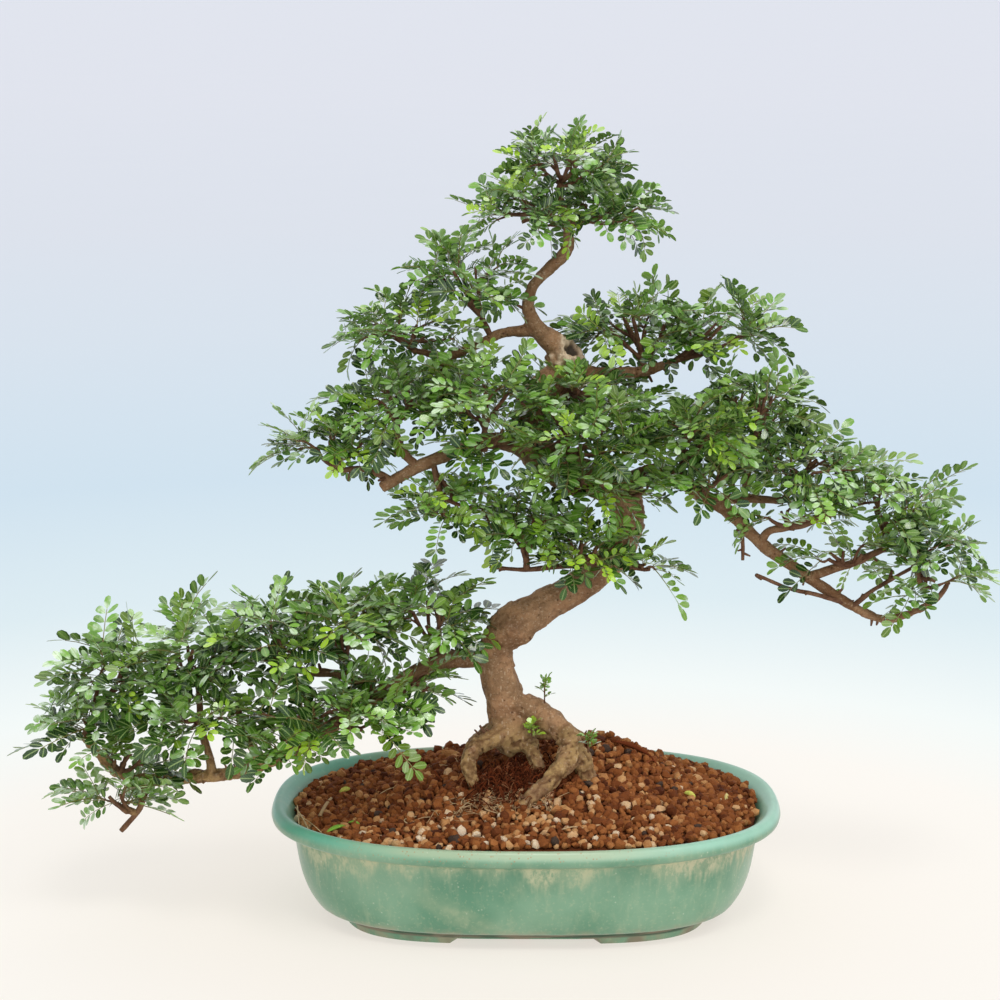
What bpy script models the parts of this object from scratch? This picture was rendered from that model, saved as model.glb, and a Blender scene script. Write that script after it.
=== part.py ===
"""A Chinese pepper bonsai: a glazed oval pot, drain meshes, soil, a curved trunk on bare roots, leaf sprays.

Metres, +Z up. The origin is on the surface, under the middle of the whole outline. +X runs along the pot,
to the viewer's right, and +Y away from the viewer. Points are worked out from the middle of the pot, which
the crown and the low limb put a little to the right of the origin. Tables are in millimetres and become
metres through MM.
"""

import math
import random

import bmesh
import bpy
from mathutils import Matrix, Vector
from mathutils.bvhtree import BVHTree

MM = 0.001
POT_MIDDLE_X = 0.012

# The pot: an oval, its size over the rim, and the height of the rim's widest edge.
POT_LENGTH = 0.340
POT_WIDTH = 0.252
POT_SIDES = 28
# The plan is an oval whose power grows from the rim to the foot, between two insets in mm, so that the foot is
# squarer than the rim. The inset across the pot is a share of the inset along it.
RIM_OVAL_POWER = 2.45
FOOT_OVAL_POWER = 3.5
OVAL_POWER_INSETS = (16, 50)
INSET_ACROSS = 0.8
# The section of the pot as (inset from the widest edge, height), in mm. It runs up the outside and over the
# lip, then down the inner wall. The height None is the underside of the foot ring, which steps down under
# the four feet.
POT_OUTSIDE = (
    (66, 7), (62, None), (49.5, None), (47, 6.5), (44.7, 9), (32, 11), (27.5, 15), (23, 22), (19.2, 32),
    (14.7, 57), (13, 60), (3.5, 63), (0, 67), (4.5, 74), (8, 72.5),
)
POT_INSIDE = ((14.5, 67), (20, 56), (24, 46), (29, 26), (41, 15))
FOOT_GAP_HEIGHT = 3.5 * MM
FOOT_STEPS_DEG = (12.0, 78.5)
FOOT_STEP_SLOPE_DEG = 2.0
FOOT_STEP_CLEAR_DEG = 4.0
DRAIN_RADIUS = 11 * MM
DRAIN_SIDES = 10
DRAIN_X = 0.055
POT_FLOOR = 15 * MM
POT_RECESS = 7 * MM

# The plastic mesh over each drain hole.
MESH_SIDE = 0.036
MESH_THICK = 1.4 * MM
MESH_BARS = 3
MESH_BAR_WIDTH = 2.2 * MM

# Clearance left between pieces that touch.
GAP = 0.35 * MM

# The soil: its level at the wall, the inset in mm where its top starts, the mound under the tree and a hump
# behind the right root, each as x, y, rise, and spread along x and y, in metres.
SOIL_EDGE = 0.065
SOIL_INSET = 16
MOUND = (0.012, 0.012, 0.034, 0.068, 0.072)
HUMP = (0.060, 0.040, 0.012, 0.024, 0.022)
SOIL_RINGS = 9
GRAIN_HEIGHT = 2.2 * MM
GRAIN_SHARES = (0.3, 1.0)

# Wood. Each row is x, y, z and radius, in mm.
TRUNK = (
    (-4, -3, 109, 12), (-9, -5, 119, 14.5), (-13, -5, 132, 12.5), (-15, -5, 148, 12.8), (-20, -5, 168, 11.6),
    (-18, -5, 181, 12), (-9, -5, 193, 13.5), (6, -2, 201, 12), (24, 4, 210, 10.6), (44, 8, 223, 10.4),
    (60, 10, 239, 11), (67, 10, 260, 11.5), (61, 8, 279, 12), (42, 0, 290, 12), (20, -8, 299, 12),
    (5, -10, 313, 12), (1, -5, 330, 10.5), (10, 5, 347, 10.5), (27, 10, 361, 11), (22, 7, 375, 8.5),
    (8, 1, 388, 6), (1, 0, 403, 4.4), (5, 0, 418, 3.8), (16, 3, 429, 4.3), (27, 5, 442, 4.1),
    (25, 0, 462, 3.2), (20, 0, 478, 2.2),
)
ROOTS = (
    (
        (-8, -8, 124, 9), (-22, -18, 118, 6.2), (-33, -24, 114, 5.8), (-38, -28, 106, 5.2),
        (-35, -31, 93, 4), (-32, -32, 80, 3.2),
    ),
    (
        (-2, -6, 138, 9.5), (9, -11, 134, 8.6), (19, -17, 128, 8.2), (29, -24, 118, 8), (27, -34, 108, 7.4),
        (16, -47, 99, 5.8), (5, -57, 91, 5), (-3, -64, 82, 4.4),
    ),
    ((28, -22, 114, 7.5), (36, -23, 106, 7.6), (40, -24, 96, 6.6), (41, -23, 80, 5)),
    ((-4, -6, 118, 9), (2, -14, 113, 6.6), (6, -20, 106, 5.4), (10, -26, 88, 4.2)),
    ((-10, 2, 120, 9), (-26, 16, 111, 6.5), (-37, 27, 98, 5.4), (-42, 34, 82, 4)),
    ((2, 4, 120, 9), (22, 20, 113, 6.5), (38, 33, 102, 5.6), (47, 42, 84, 4)),
)
BRANCHES = {
    "low_left": (
        (-14, -4, 168, 8), (-34, -3, 170, 7.2), (-57, -14, 169, 6), (-82, -28, 160, 5.6),
        (-103, -38, 149, 5.2), (-128, -45, 133, 5), (-155, -45, 116, 4.8), (-187, -40, 102, 4.6),
        (-218, -36, 97, 4.4), (-246, -31, 93, 4.2), (-268, -29, 97, 4), (-282, -28, 110, 3.6),
        (-291, -27, 122, 3.2),
    ),
    "low_left_spur": ((-245, -31, 95, 3.8), (-251, -31, 86, 3), (-256, -31, 72, 2), (-268, -31, 58, 1.5)),
    "low_left_post": (
        (-206, -38, 98, 3.4), (-208, -38, 112, 2.8), (-213, -34, 130, 2.3), (-214, -32, 150, 1.9),
    ),
    "low_left_fork": (
        (-172, -42, 108, 3.4), (-178, -44, 118, 3.2), (-186, -42, 132, 2.4), (-188, -38, 152, 1.9),
    ),
    "low_left_back": (
        (-96, -34, 152, 3.6), (-118, -24, 162, 3.2), (-142, -20, 164, 2.6), (-165, -24, 168, 2.1),
    ),
    "mid_left": (
        (4, -9, 311, 8), (-16, -19, 318, 6), (-36, -25, 317, 5), (-56, -29, 309, 4.4), (-74, -30, 301, 4.1),
        (-94, -30, 289, 3.9),
    ),
    "mid_left_rise": ((-70, -30, 303, 3), (-80, -28, 313, 2.7), (-84, -24, 324, 2.2)),
    "mid_left_tip": ((-86, -30, 294, 2.6), (-104, -29, 301, 2.1), (-126, -27, 300, 1.6)),
    "top_left": (
        (6, 0, 388, 4.4), (-16, 0, 386, 3.4), (-35, 0, 377, 3.1), (-52, 1, 371, 2.8), (-72, 2, 374, 2.2),
    ),
    "right": (
        (60, 8, 280, 8.5), (80, 6, 292, 6.6), (98, 1, 291, 5.6), (115, -4, 280, 5), (132, -8, 270, 4.7),
        (155, -10, 248, 4.3), (176, -10, 233, 4), (205, -10, 213, 3.6), (222, -10, 203, 3.2),
        (239, -10, 198, 2.9), (259, -10, 205, 2.6), (272, -10, 214, 2.3), (278, -10, 224, 2),
    ),
    "right_mid": ((186, -10, 227, 3.2), (200, -9, 231, 2.9), (216, -8, 236, 2.6), (236, -7, 245, 2)),
    "right_back": ((118, -3, 278, 3.6), (148, 8, 275, 3), (170, 14, 273, 2.4)),
    "right_front": ((153, -10, 249, 3), (160, -16, 259, 2.7), (178, -21, 263, 2.3), (200, -24, 272, 1.9)),
    "right_twig": ((214, -10, 208, 1.9), (190, -16, 216, 1.5), (172, -20, 221, 1.3), (150, -25, 231, 1.1)),
    "right_shoot": ((215, -11, 207, 1.9), (228, -15, 219, 1.5), (244, -19, 230, 1.3), (258, -22, 239, 1.1)),
    "right_drop": ((140, -10, 261, 1.9), (142, -11, 250, 1.4), (142, -12, 238, 1.2)),
    "top_right": ((24, 10, 362, 6.5), (48, 18, 357, 5), (72, 24, 357, 4), (92, 26, 362, 3)),
    "front_low": (
        (64, 4, 246, 3), (46, -14, 238, 2.4), (22, -22, 236, 2), (-2, -24, 234, 1.5), (-24, -24, 236, 1.2),
    ),
}
# The swelling on the underside of the trunk's first bend.
BURL = ((-12, -6, 186, 9), (-3, -7, 187.5, 8), (4, -7, 190, 4.5))
TRUNK_SIDES = 8
ROOT_SIDES = 6
# How many sides a branch has when it starts thicker than a radius in mm.
BRANCH_SIDES = ((4.5, 6), (2.5, 5), (0, 4))
# The old pruning wound on the upper bend: the stub, and the ball that hollows it.
WOUND_STUB = ((19, 8, 364, 9), (26, 5, 373, 8))
WOUND_HOLLOW = (30, 2, 378, 6.5)

# Leaf sprays: the middle and the radii of the dense inner leaves, in mm, and how many leaves stand out of it.
SPRAYS = {
    "apex_top": ((25, 0, 494), (32, 30, 15), 6),
    "apex_left": ((-3, -6, 462), (24, 26, 13), 4),
    "apex_right": ((53, 2, 464), (25, 26, 14), 4),
    "crown_left_high": ((-40, -2, 422), (24, 25, 15), 4),
    "crown_left_mid": ((-84, 0, 386), (28, 27, 13), 4),
    "crown_left_low": ((-84, -14, 343), (28, 28, 15), 4),
    "crown_left_end": ((-130, -24, 316), (28, 26, 14), 4),
    "crown_front_left": ((-26, -38, 348), (27, 24, 20), 3),
    "crown_front": ((38, -46, 320), (34, 26, 22), 4),
    "crown_back": ((40, 52, 330), (38, 28, 20), 3),
    "crown_back_left": ((-58, 46, 338), (26, 22, 14), 3),
    "crown_low_left": ((-46, -36, 274), (26, 24, 15), 4),
    "crown_low": ((0, -34, 262), (22, 20, 17), 4),
    "crown_low_right": ((44, -34, 250), (16, 16, 14), 4),
    "right_high": ((72, 26, 386), (30, 26, 14), 3),
    "right_high_end": ((131, 22, 382), (28, 26, 15), 4),
    "right_inner": ((106, -32, 324), (25, 22, 16), 3),
    "right_shoulder": ((150, 6, 338), (28, 30, 16), 4),
    "right_back": ((126, 54, 312), (30, 24, 15), 3),
    "right_centre": ((182, -6, 298), (32, 30, 15), 4),
    "right_outer": ((236, -4, 272), (30, 28, 15), 4),
    "right_end": ((266, -8, 246), (14, 18, 12), 4),
    "low_inner": ((-64, -14, 200), (20, 24, 16), 4),
    "low_centre": ((-114, -26, 205), (22, 26, 17), 4),
    "low_middle": ((-163, -34, 198), (25, 27, 18), 4),
    "low_outer": ((-216, -32, 190), (26, 27, 18), 4),
    "low_outer_high": ((-270, -24, 176), (27, 25, 17), 4),
    "low_end": ((-286, -28, 132), (14, 20, 10), 3),
    "low_front": ((-212, -58, 140), (26, 16, 11), 3),
    "low_front_inner": ((-136, -66, 144), (30, 17, 10), 3),
    "low_hanging": ((-270, -30, 80), (7, 8, 7), 3),
}
TREE_AXIS = Vector((0.012, 0.0, 0.0))
CORE_TIPS = (1.06, 1.30)
CORE_VALLEYS = (0.74, 0.92)
ICOSAHEDRON_POINTS = 12
CORE_CLEAR = 1.03
CORE_DRAW_IN = 0.96

# The twig that carries a spray: its radii in mm, how deep it runs into the inner leaves, how far it sags for
# its length, and its largest share of the thickness of the wood that it leaves.
TWIG_RADII = (2.2, 1.98, 1.7)
TWIG_SIDES = 3
TWIG_REACH = 0.66
TWIG_SAG = 0.12
TWIG_SHARE = 0.8
TWIG_SHORTEST = 2 * MM

# Compound leaves: pairs of leaflets cut to the rib in one arched blade.
LEAF_LENGTH = (0.044, 0.056)
LEAF_PAIRS = (3, 2, 3)
LEAFLETS_START = 0.20
LEAFLETS_END = 0.80
LEAFLET_TAPER = (0.86, 1.0, 0.94)
LEAFLET_LEAN = 0.74
LEAFLET_REACH = 0.0115
LEAFLET_FALL = 0.22
END_LEAFLET = (0.94, 0.5)
LEAF_THICK = 0.8 * MM
RIB_HALF = 0.8 * MM
LEAF_ARCH_RISE = 0.30
LEAF_ARCH_DROOP = 0.42
STEEP_HEADING = 0.92
STEEP_RISE = 0.3
# The plain blade that keeps a leaf's room free: its thickness, its margin, and shares of the length.
ROOM_THICK = 1.7 * MM
ROOM_MARGIN = 1 * MM
ROOM_NECK = 0.22
ROOM_WIDE = (0.34, 0.72)
ROOM_TIP = 0.6
# How leaves stand round a spray: the rise of each in turn, and how far a try may leave that place.
LEAF_ROOT = 0.7
LEAF_LIFT = 0.18
LEAF_ROLL = 0.4
LEAF_SHRINK = 0.24
LEAF_RISE_DEG = (4, 30, -16, 58, 14, 40)
LEAF_RISE_SPREAD_DEG = 50
GOLDEN_TURN = 2.39996
LEAF_TRIES = 70
SEED = 26

# Shoots on the bare roots: a point near the foot of each, in mm, the way it leans, and its length.
SPROUTS = {
    "sprout_trunk": ((10, -14, 143), (0.3, 0.0, 1.4), 0.024),
    "sprout_root_left": ((2, -26, 124), (-0.3, -0.4, 0.9), 0.018),
    "sprout_root_right": ((40, -34, 116), (0.2, -0.2, 1.2), 0.020),
}
SPROUT_OFF = 0.95 * MM
SPROUT_PAIRS = 2
SPROUT_REACH = LEAFLET_REACH * 0.42
SPROUT_ROLL = 0.3

# Finishes: the colour of each, and its roughness.
FINISHES = {
    "green_glaze": ((0.17, 0.31, 0.21), 0.3),
    "drain_plastic": ((0.03, 0.03, 0.03), 0.6),
    "red_granules": ((0.19, 0.07, 0.028), 0.95),
    "bark": ((0.24, 0.15, 0.08), 0.8),
    "leaf_green": ((0.085, 0.15, 0.045), 0.45),
}


def clear_scene():
    """Removes whatever the file opened with."""
    for thing in list(bpy.data.objects):
        bpy.data.objects.remove(thing)


def material(name):
    """A plain Principled finish."""
    colour, roughness = FINISHES[name]
    made = bpy.data.materials.new(name)
    made.use_nodes = True
    shader = made.node_tree.nodes["Principled BSDF"]
    shader.inputs["Base Color"].default_value = (*colour, 1.0)
    shader.inputs["Roughness"].default_value = roughness
    return made


def add_object(name, mesh, finish=None, parent=None):
    """Puts a mesh into the scene as an object."""
    thing = bpy.data.objects.new(name, mesh)
    bpy.context.scene.collection.objects.link(thing)
    thing.parent = parent
    if finish is not None:
        mesh.materials.clear()
        mesh.materials.append(finish)
    return thing


def mesh_from(name, points, faces):
    """A mesh from points and faces, its normals pointing out."""
    mesh = bpy.data.meshes.new(name)
    mesh.from_pydata([tuple(p) for p in points], [], faces)
    work = bmesh.new()
    work.from_mesh(mesh)
    bmesh.ops.recalc_face_normals(work, faces=work.faces)
    work.to_mesh(mesh)
    work.free()
    return mesh


def loft(name, rings):
    """A closed skin over rings of equal count, with a flat cap on the first and the last."""
    count = len(rings[0])
    points = [p for ring in rings for p in ring]
    faces = [tuple(range(count))]
    for row in range(len(rings) - 1):
        for i in range(count):
            a = row * count + i
            b = row * count + (i + 1) % count
            faces += [(a, b, b + count), (a, b + count, a + count)]
    faces.append(tuple(range((len(rings) - 1) * count, len(rings) * count)))
    return mesh_from(name, points, faces)


def baked(thing):
    """The object's mesh with its modifiers applied."""
    bpy.context.view_layer.update()
    graph = bpy.context.evaluated_depsgraph_get()
    return bpy.data.meshes.new_from_object(thing.evaluated_get(graph))


def combine(name, base, others, operation, solver="MANIFOLD"):
    """One Boolean of a collection of meshes on a base mesh, applied, with the collection removed."""
    body = add_object(name, base)
    group = bpy.data.collections.new(name + "_pieces")
    for number, mesh in enumerate(others):
        group.objects.link(bpy.data.objects.new(f"{name}_{number}", mesh))
    bpy.context.scene.collection.children.link(group)
    join = body.modifiers.new("join", "BOOLEAN")
    join.operation = operation
    join.operand_type = "COLLECTION"
    join.collection = group
    join.solver = solver
    mesh = baked(body)
    for thing in [*group.objects, body]:
        bpy.data.objects.remove(thing)
    bpy.data.collections.remove(group)
    return mesh


def largest_body(mesh):
    """Keeps the biggest connected part of a mesh and drops loose scraps."""
    work = bmesh.new()
    work.from_mesh(mesh)
    left = set(work.verts)
    bodies = []
    while left:
        found = {left.pop()}
        edge = list(found)
        while edge:
            for link in edge.pop().link_edges:
                for vert in link.verts:
                    if vert in left:
                        left.discard(vert)
                        found.add(vert)
                        edge.append(vert)
        bodies.append(found)
    biggest = max(bodies, key=len)
    bmesh.ops.delete(work, geom=[v for v in work.verts if v not in biggest], context="VERTS")
    work.to_mesh(mesh)
    work.free()
    return mesh


def oval(half_x, half_y, power, angle):
    """A point at an angle on an oval of a given power: 2 is an ellipse, and more is squarer."""
    c = math.cos(angle)
    s = math.sin(angle)
    share = 2.0 / power
    return math.copysign(abs(c) ** share, c) * half_x, math.copysign(abs(s) ** share, s) * half_y


def pot_plan(inset, off=0.0):
    """The half length, half width and power of the pot's oval at an inset in mm, or of what lies off it."""
    low, high = OVAL_POWER_INSETS
    share = min(max((inset - low) / (high - low), 0.0), 1.0)
    half_x = POT_LENGTH / 2 - inset * MM - off
    half_y = POT_WIDTH / 2 - inset * MM * INSET_ACROSS - off
    return half_x, half_y, RIM_OVAL_POWER + (FOOT_OVAL_POWER - RIM_OVAL_POWER) * share


def pot_angles():
    """Even steps round the pot, with a close pair of steps in their place at each end of each foot."""
    half_slope = FOOT_STEP_SLOPE_DEG / 2
    ends = []
    for quarter in range(4):
        ends += [quarter * 90 + (step if quarter % 2 == 0 else 90 - step) for step in FOOT_STEPS_DEG]
    even = [360.0 * i / POT_SIDES for i in range(POT_SIDES)]
    angles = [a for a in even if all(abs(a - end) > FOOT_STEP_CLEAR_DEG for end in ends)]
    angles += [end + side * half_slope for end in ends for side in (-1, 1)]
    return [math.radians(a) for a in sorted(angles)]


def foot_height(angle):
    """How far the foot ring stands off the surface: nothing under a foot, a low gap between feet."""
    turn = math.degrees(angle) % 180
    turn = 180 - turn if turn > 90 else turn
    return 0.0 if FOOT_STEPS_DEG[0] < turn < FOOT_STEPS_DEG[1] else FOOT_GAP_HEIGHT


def pot_ring(inset, height, angles, off=0.0):
    """One level of the pot from a row of its section, or of what lies off the inner wall."""
    plan = pot_plan(inset, off)
    ring = []
    for angle in angles:
        x, y = oval(*plan, angle)
        ring.append((x, y, foot_height(angle) if height is None else height * MM + off))
    return ring


def drain_hole(side):
    """The cutter of one drain hole, through the floor of the pot."""
    turns = [2 * math.pi * i / DRAIN_SIDES for i in range(DRAIN_SIDES)]
    plan = [(side * DRAIN_X + DRAIN_RADIUS * math.cos(t), DRAIN_RADIUS * math.sin(t)) for t in turns]
    return loft("drain", [[(x, y, z) for x, y in plan] for z in (POT_RECESS - MM, POT_FLOOR + MM)])


def block(name, low, high):
    """A box between two corners."""
    rings = [
        [(low[0], low[1], z), (high[0], low[1], z), (high[0], high[1], z), (low[0], high[1], z)]
        for z in (low[2], high[2])
    ]
    return loft(name, rings)


def build_pot():
    """The pot with its rolled lip, foot ring, four feet and two drain holes."""
    angles = pot_angles()
    rings = [pot_ring(inset, height, angles) for inset, height in (*POT_OUTSIDE, *POT_INSIDE)]
    return combine("pot", loft("pot", rings), [drain_hole(side) for side in (-1, 1)], "DIFFERENCE", "EXACT")


def drain_mesh_box(side, grow=0.0):
    """The corners of the mesh over one drain hole."""
    half = MESH_SIDE / 2 + grow
    low = (side * DRAIN_X - half, -half, POT_FLOOR + GAP - grow)
    high = (side * DRAIN_X + half, half, POT_FLOOR + GAP + MESH_THICK + grow)
    return low, high


def build_drain_mesh(side):
    """A square plastic grid."""
    low, high = drain_mesh_box(side)
    pitch = (MESH_SIDE - MESH_BAR_WIDTH) / (MESH_BARS - 1)
    opening = pitch - MESH_BAR_WIDTH
    cuts = []
    for row in range(MESH_BARS - 1):
        for column in range(MESH_BARS - 1):
            x = low[0] + MESH_BAR_WIDTH + row * pitch
            y = low[1] + MESH_BAR_WIDTH + column * pitch
            cuts.append(block("cut", (x, y, low[2] - MM), (x + opening, y + opening, high[2] + MM)))
    return combine("drain_mesh", block("grid", low, high), cuts, "DIFFERENCE")


def soil_height(x, y):
    """The level of the soil: the mound under the tree and the hump behind it, on the level at the wall."""
    height = SOIL_EDGE
    for cx, cy, rise, wide, deep in (MOUND, HUMP):
        height += rise * math.exp(-((x - cx) ** 2) / (2 * wide**2) - ((y - cy) ** 2) / (2 * deep**2))
    return height


def build_soil(wood_cutter):
    """Packed granules that fill the pot, with the roots and the drain meshes let into them."""
    draw = random.Random(SEED)
    angles = pot_angles()
    wall = [(inset, height) for inset, height in POT_INSIDE if height * MM < SOIL_EDGE]
    rings = [pot_ring(inset, height, angles, GAP) for inset, height in reversed(wall)]
    half_x, half_y, power = pot_plan(SOIL_INSET, GAP)
    for row in range(SOIL_RINGS):
        share = 1 - row / SOIL_RINGS
        ring = []
        for number, angle in enumerate(angles):
            x, y = oval(half_x * share, half_y * share, power, angle)
            grain = GRAIN_HEIGHT * ((number + row) % 2 * 2 - 1) * draw.uniform(*GRAIN_SHARES)
            ring.append((x, y, soil_height(x, y) + (grain if row else 0.0)))
        rings.append(ring)
    pockets = [block("pocket", *drain_mesh_box(side, GAP)) for side in (-1, 1)]
    return largest_body(combine("soil", loft("soil", rings), [*pockets, wood_cutter], "DIFFERENCE"))


def smooth_path(rows, steps):
    """Points through the rows on a Catmull-Rom curve, steps to a span. A row is x, y, z and radius, in mm."""
    rows = [Vector(row) for row in rows]
    ends = [2 * rows[0] - rows[1], *rows, 2 * rows[-1] - rows[-2]]
    path = []
    for i in range(1, len(ends) - 2):
        before, here, there, after = ends[i - 1 : i + 3]
        for step in range(steps):
            t = step / steps
            path.append(
                0.5 * (2 * here + (there - before) * t + (2 * before - 5 * here + 4 * there - after) * t**2
                       + (3 * here - before - 3 * there + after) * t**3)
            )
    return [*path, rows[-1]]


def limb(name, rows, sides, grow=0.0):
    """A tapering round limb along its rows, with flat ends. grow thickens it, and lengthens it as much."""
    places = [Vector(row[:3]) * MM for row in rows]
    radii = [row[3] * MM + grow for row in rows]
    start = (places[1] - places[0]).normalized()
    finish = (places[-1] - places[-2]).normalized()
    along = [start]
    for i in range(1, len(places) - 1):
        along.append((places[i + 1] - places[i - 1]).normalized())
    along.append(finish)
    places[0] -= start * grow
    places[-1] += finish * grow
    across = along[0].orthogonal().normalized()
    rings = []
    for place, radius, heading in zip(places, radii, along):
        across = (across - heading * across.dot(heading)).normalized()
        other = heading.cross(across)
        turns = (2 * math.pi * i / sides for i in range(sides))
        rings.append([place + (across * math.cos(t) + other * math.sin(t)) * radius for t in turns])
    return loft(name, rings)


def nearest_wood(target):
    """The nearest point on the trunk or a branch to a target, and the wood's radius there, in metres."""
    best = None
    for rows in (TRUNK[6:], *BRANCHES.values()):
        for row in smooth_path(rows, 4):
            place = Vector(row[:3]) * MM
            away = (place - target).length
            if best is None or away < best[0]:
                best = (away, place, row[3] * MM)
    return best[1], best[2]


def core_reach(radii, direction):
    """How far the inner leaves reach from their middle in a direction."""
    return 1.0 / math.sqrt(sum((direction[i] / radii[i]) ** 2 for i in range(3)))


def twig_rows(centre, radii):
    """The rows of the twig from the nearest wood into a spray's inner leaves."""
    start, thick = nearest_wood(centre)
    inward = centre - start
    end = centre - inward.normalized() * core_reach(radii, inward.normalized()) * TWIG_REACH
    if inward.length < (end - centre).length + TWIG_SHORTEST:
        return None
    sag = Vector((0, 0, -TWIG_SAG * (end - start).length))
    places = (start, (start + end) / 2 + sag, end)
    thickest = thick / MM * TWIG_SHARE
    return [(*(place / MM), min(radius, thickest)) for place, radius in zip(places, TWIG_RADII)]


def build_wood(grow=0.0):
    """The trunk, roots, branches and the twigs that carry the sprays, grown as one body."""
    trunk = limb("trunk", TRUNK, TRUNK_SIDES, grow)
    parts = [limb("root", rows, ROOT_SIDES, grow) for rows in ROOTS]
    for rows in BRANCHES.values():
        sides = next(sides for thick, sides in BRANCH_SIDES if rows[0][3] > thick)
        parts.append(limb("branch", rows, sides, grow))
    for centre, radii, _ in SPRAYS.values():
        rows = twig_rows(Vector(centre) * MM, [r * MM for r in radii])
        if rows:
            parts.append(limb("twig", rows, TWIG_SIDES, grow))
    parts += [limb("swelling", rows, TRUNK_SIDES, grow) for rows in (BURL, WOUND_STUB)]
    mesh = combine("wood", trunk, parts, "UNION")
    if grow:
        return mesh
    x, y, z, radius = WOUND_HOLLOW
    hollow = icosphere((x * MM, y * MM, z * MM), (radius * MM,) * 3, 2)
    return largest_body(combine("wood", mesh, [hollow], "DIFFERENCE"))


def icosphere(centre, radii, level):
    """A faceted ball stretched to three radii."""
    work = bmesh.new()
    bmesh.ops.create_icosphere(work, subdivisions=level, radius=1.0)
    stretch = Matrix.Translation(centre) @ Matrix.Diagonal((*radii, 1.0))
    bmesh.ops.transform(work, matrix=stretch, verts=work.verts)
    mesh = bpy.data.meshes.new("ball")
    work.to_mesh(mesh)
    work.free()
    return mesh


def inner_leaves(centre, radii, draw):
    """The dense inside of a spray: a ragged mass of twelve bunched leaf tips with valleys between them."""
    mesh = icosphere(centre, radii, 2)
    for number, vert in enumerate(mesh.vertices):
        low, high = CORE_TIPS if number < ICOSAHEDRON_POINTS else CORE_VALLEYS
        vert.co = centre + (vert.co - centre) * draw.uniform(low, high)
    return mesh


def leaf_frame(base, heading, roll):
    """The three directions of a leaf: along its rib, to its side, and up from its face."""
    up = Vector((0, 0, 1))
    if abs(heading.dot(up)) > STEEP_HEADING:
        up = Vector((heading.x, heading.y, STEEP_RISE)).normalized() * -1
    side = heading.cross(up).normalized()
    face = side.cross(heading).normalized()
    turn = Matrix.Rotation(roll, 3, heading)
    return base, heading, turn @ side, turn @ face


def leaf_point(frame, length, along, aside):
    """A point of the blade: the rib arches over and droops, and the leaflets fall a little from the rib."""
    base, heading, side, face = frame
    arch = LEAF_ARCH_RISE * along - LEAF_ARCH_DROOP * along**2
    fall = LEAFLET_FALL * abs(aside)
    return base + heading * (along * length) + side * aside + face * (arch * length - fall)


def leaf_edge(pairs, reach):
    """One side of a compound leaf's outline: shares of the length, with the distance from the rib at each."""
    pitch = (LEAFLETS_END - LEAFLETS_START) / pairs
    edge = [(0.0, RIB_HALF)]
    for pair in range(pairs):
        at = LEAFLETS_START + pair * pitch
        wide = reach * LEAFLET_TAPER[pair]
        edge += [(at, RIB_HALF), (at + LEAFLET_LEAN * pitch, wide)]
    tip, wide = END_LEAFLET
    return [*edge, (LEAFLETS_END, RIB_HALF), (tip, reach * wide)]


def compound_leaf(frame, length, pairs, reach=LEAFLET_REACH):
    """A compound leaf: one thin arched blade, its outline cut to the rib between the leaflets."""
    edge = leaf_edge(pairs, reach)
    flat = edge + [(a, -w) for a, w in reversed(edge)]
    count = len(flat)
    last = count - 1
    lift = frame[3] * (LEAF_THICK / 2)
    centre = [leaf_point(frame, length, a, w) for a, w in flat]
    points = [p + lift for p in centre] + [p - lift for p in centre]
    top = [(0, 1, last - 1), (0, last - 1, last)]
    for notch in range(1, len(edge) - 2, 2):
        tip, after = notch + 1, notch + 2
        top += [(notch, tip, after), (last - notch, last - after, last - tip)]
        top += [(notch, after, last - after), (notch, last - after, last - notch)]
    notch, tip = len(edge) - 2, len(edge) - 1
    top += [(notch, tip, last - tip), (notch, last - tip, last - notch)]
    faces = top + [tuple(p + count for p in reversed(tri)) for tri in top]
    for i in range(count):
        j = (i + 1) % count
        faces += [(i, j, j + count), (i, j + count, i + count)]
    return mesh_from("leaf", points, faces)


def plain_blade(frame, length, start):
    """The room a compound leaf takes up, from start of its length outwards, as a plain lance-shaped blade."""
    narrow = RIB_HALF + ROOM_MARGIN
    wide = LEAFLET_REACH + ROOM_MARGIN
    edge = [(start, narrow), (ROOM_NECK, narrow)]
    edge += [(share, wide) for share in ROOM_WIDE]
    edge.append((1.0, ROOM_TIP * wide))
    flat = edge + [(a, -w) for a, w in reversed(edge)]
    lift = frame[3] * (ROOM_THICK / 2)
    count = len(flat)
    last = count - 1
    centre = [leaf_point(frame, length, a, w) for a, w in flat]
    points = [p + lift for p in centre] + [p - lift for p in centre]
    quads = [(i, i + 1, last - 1 - i, last - i) for i in range(len(edge) - 1)]
    quads += [tuple(p + count for p in reversed(quad)) for quad in quads]
    quads += [(i, (i + 1) % count, (i + 1) % count + count, i + count) for i in range(count)]
    halves = [(q[0], q[1], q[2]) for q in quads] + [(q[0], q[2], q[3]) for q in quads]
    return BVHTree.FromPolygons(points, halves)


def tree_of(mesh, middle=Vector(), swell=1.0):
    """A search tree of a mesh's faces, swollen about a middle."""
    points = [middle + (v.co - middle) * swell for v in mesh.vertices]
    return BVHTree.FromPolygons(points, [tuple(p.vertices) for p in mesh.polygons])


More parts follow.
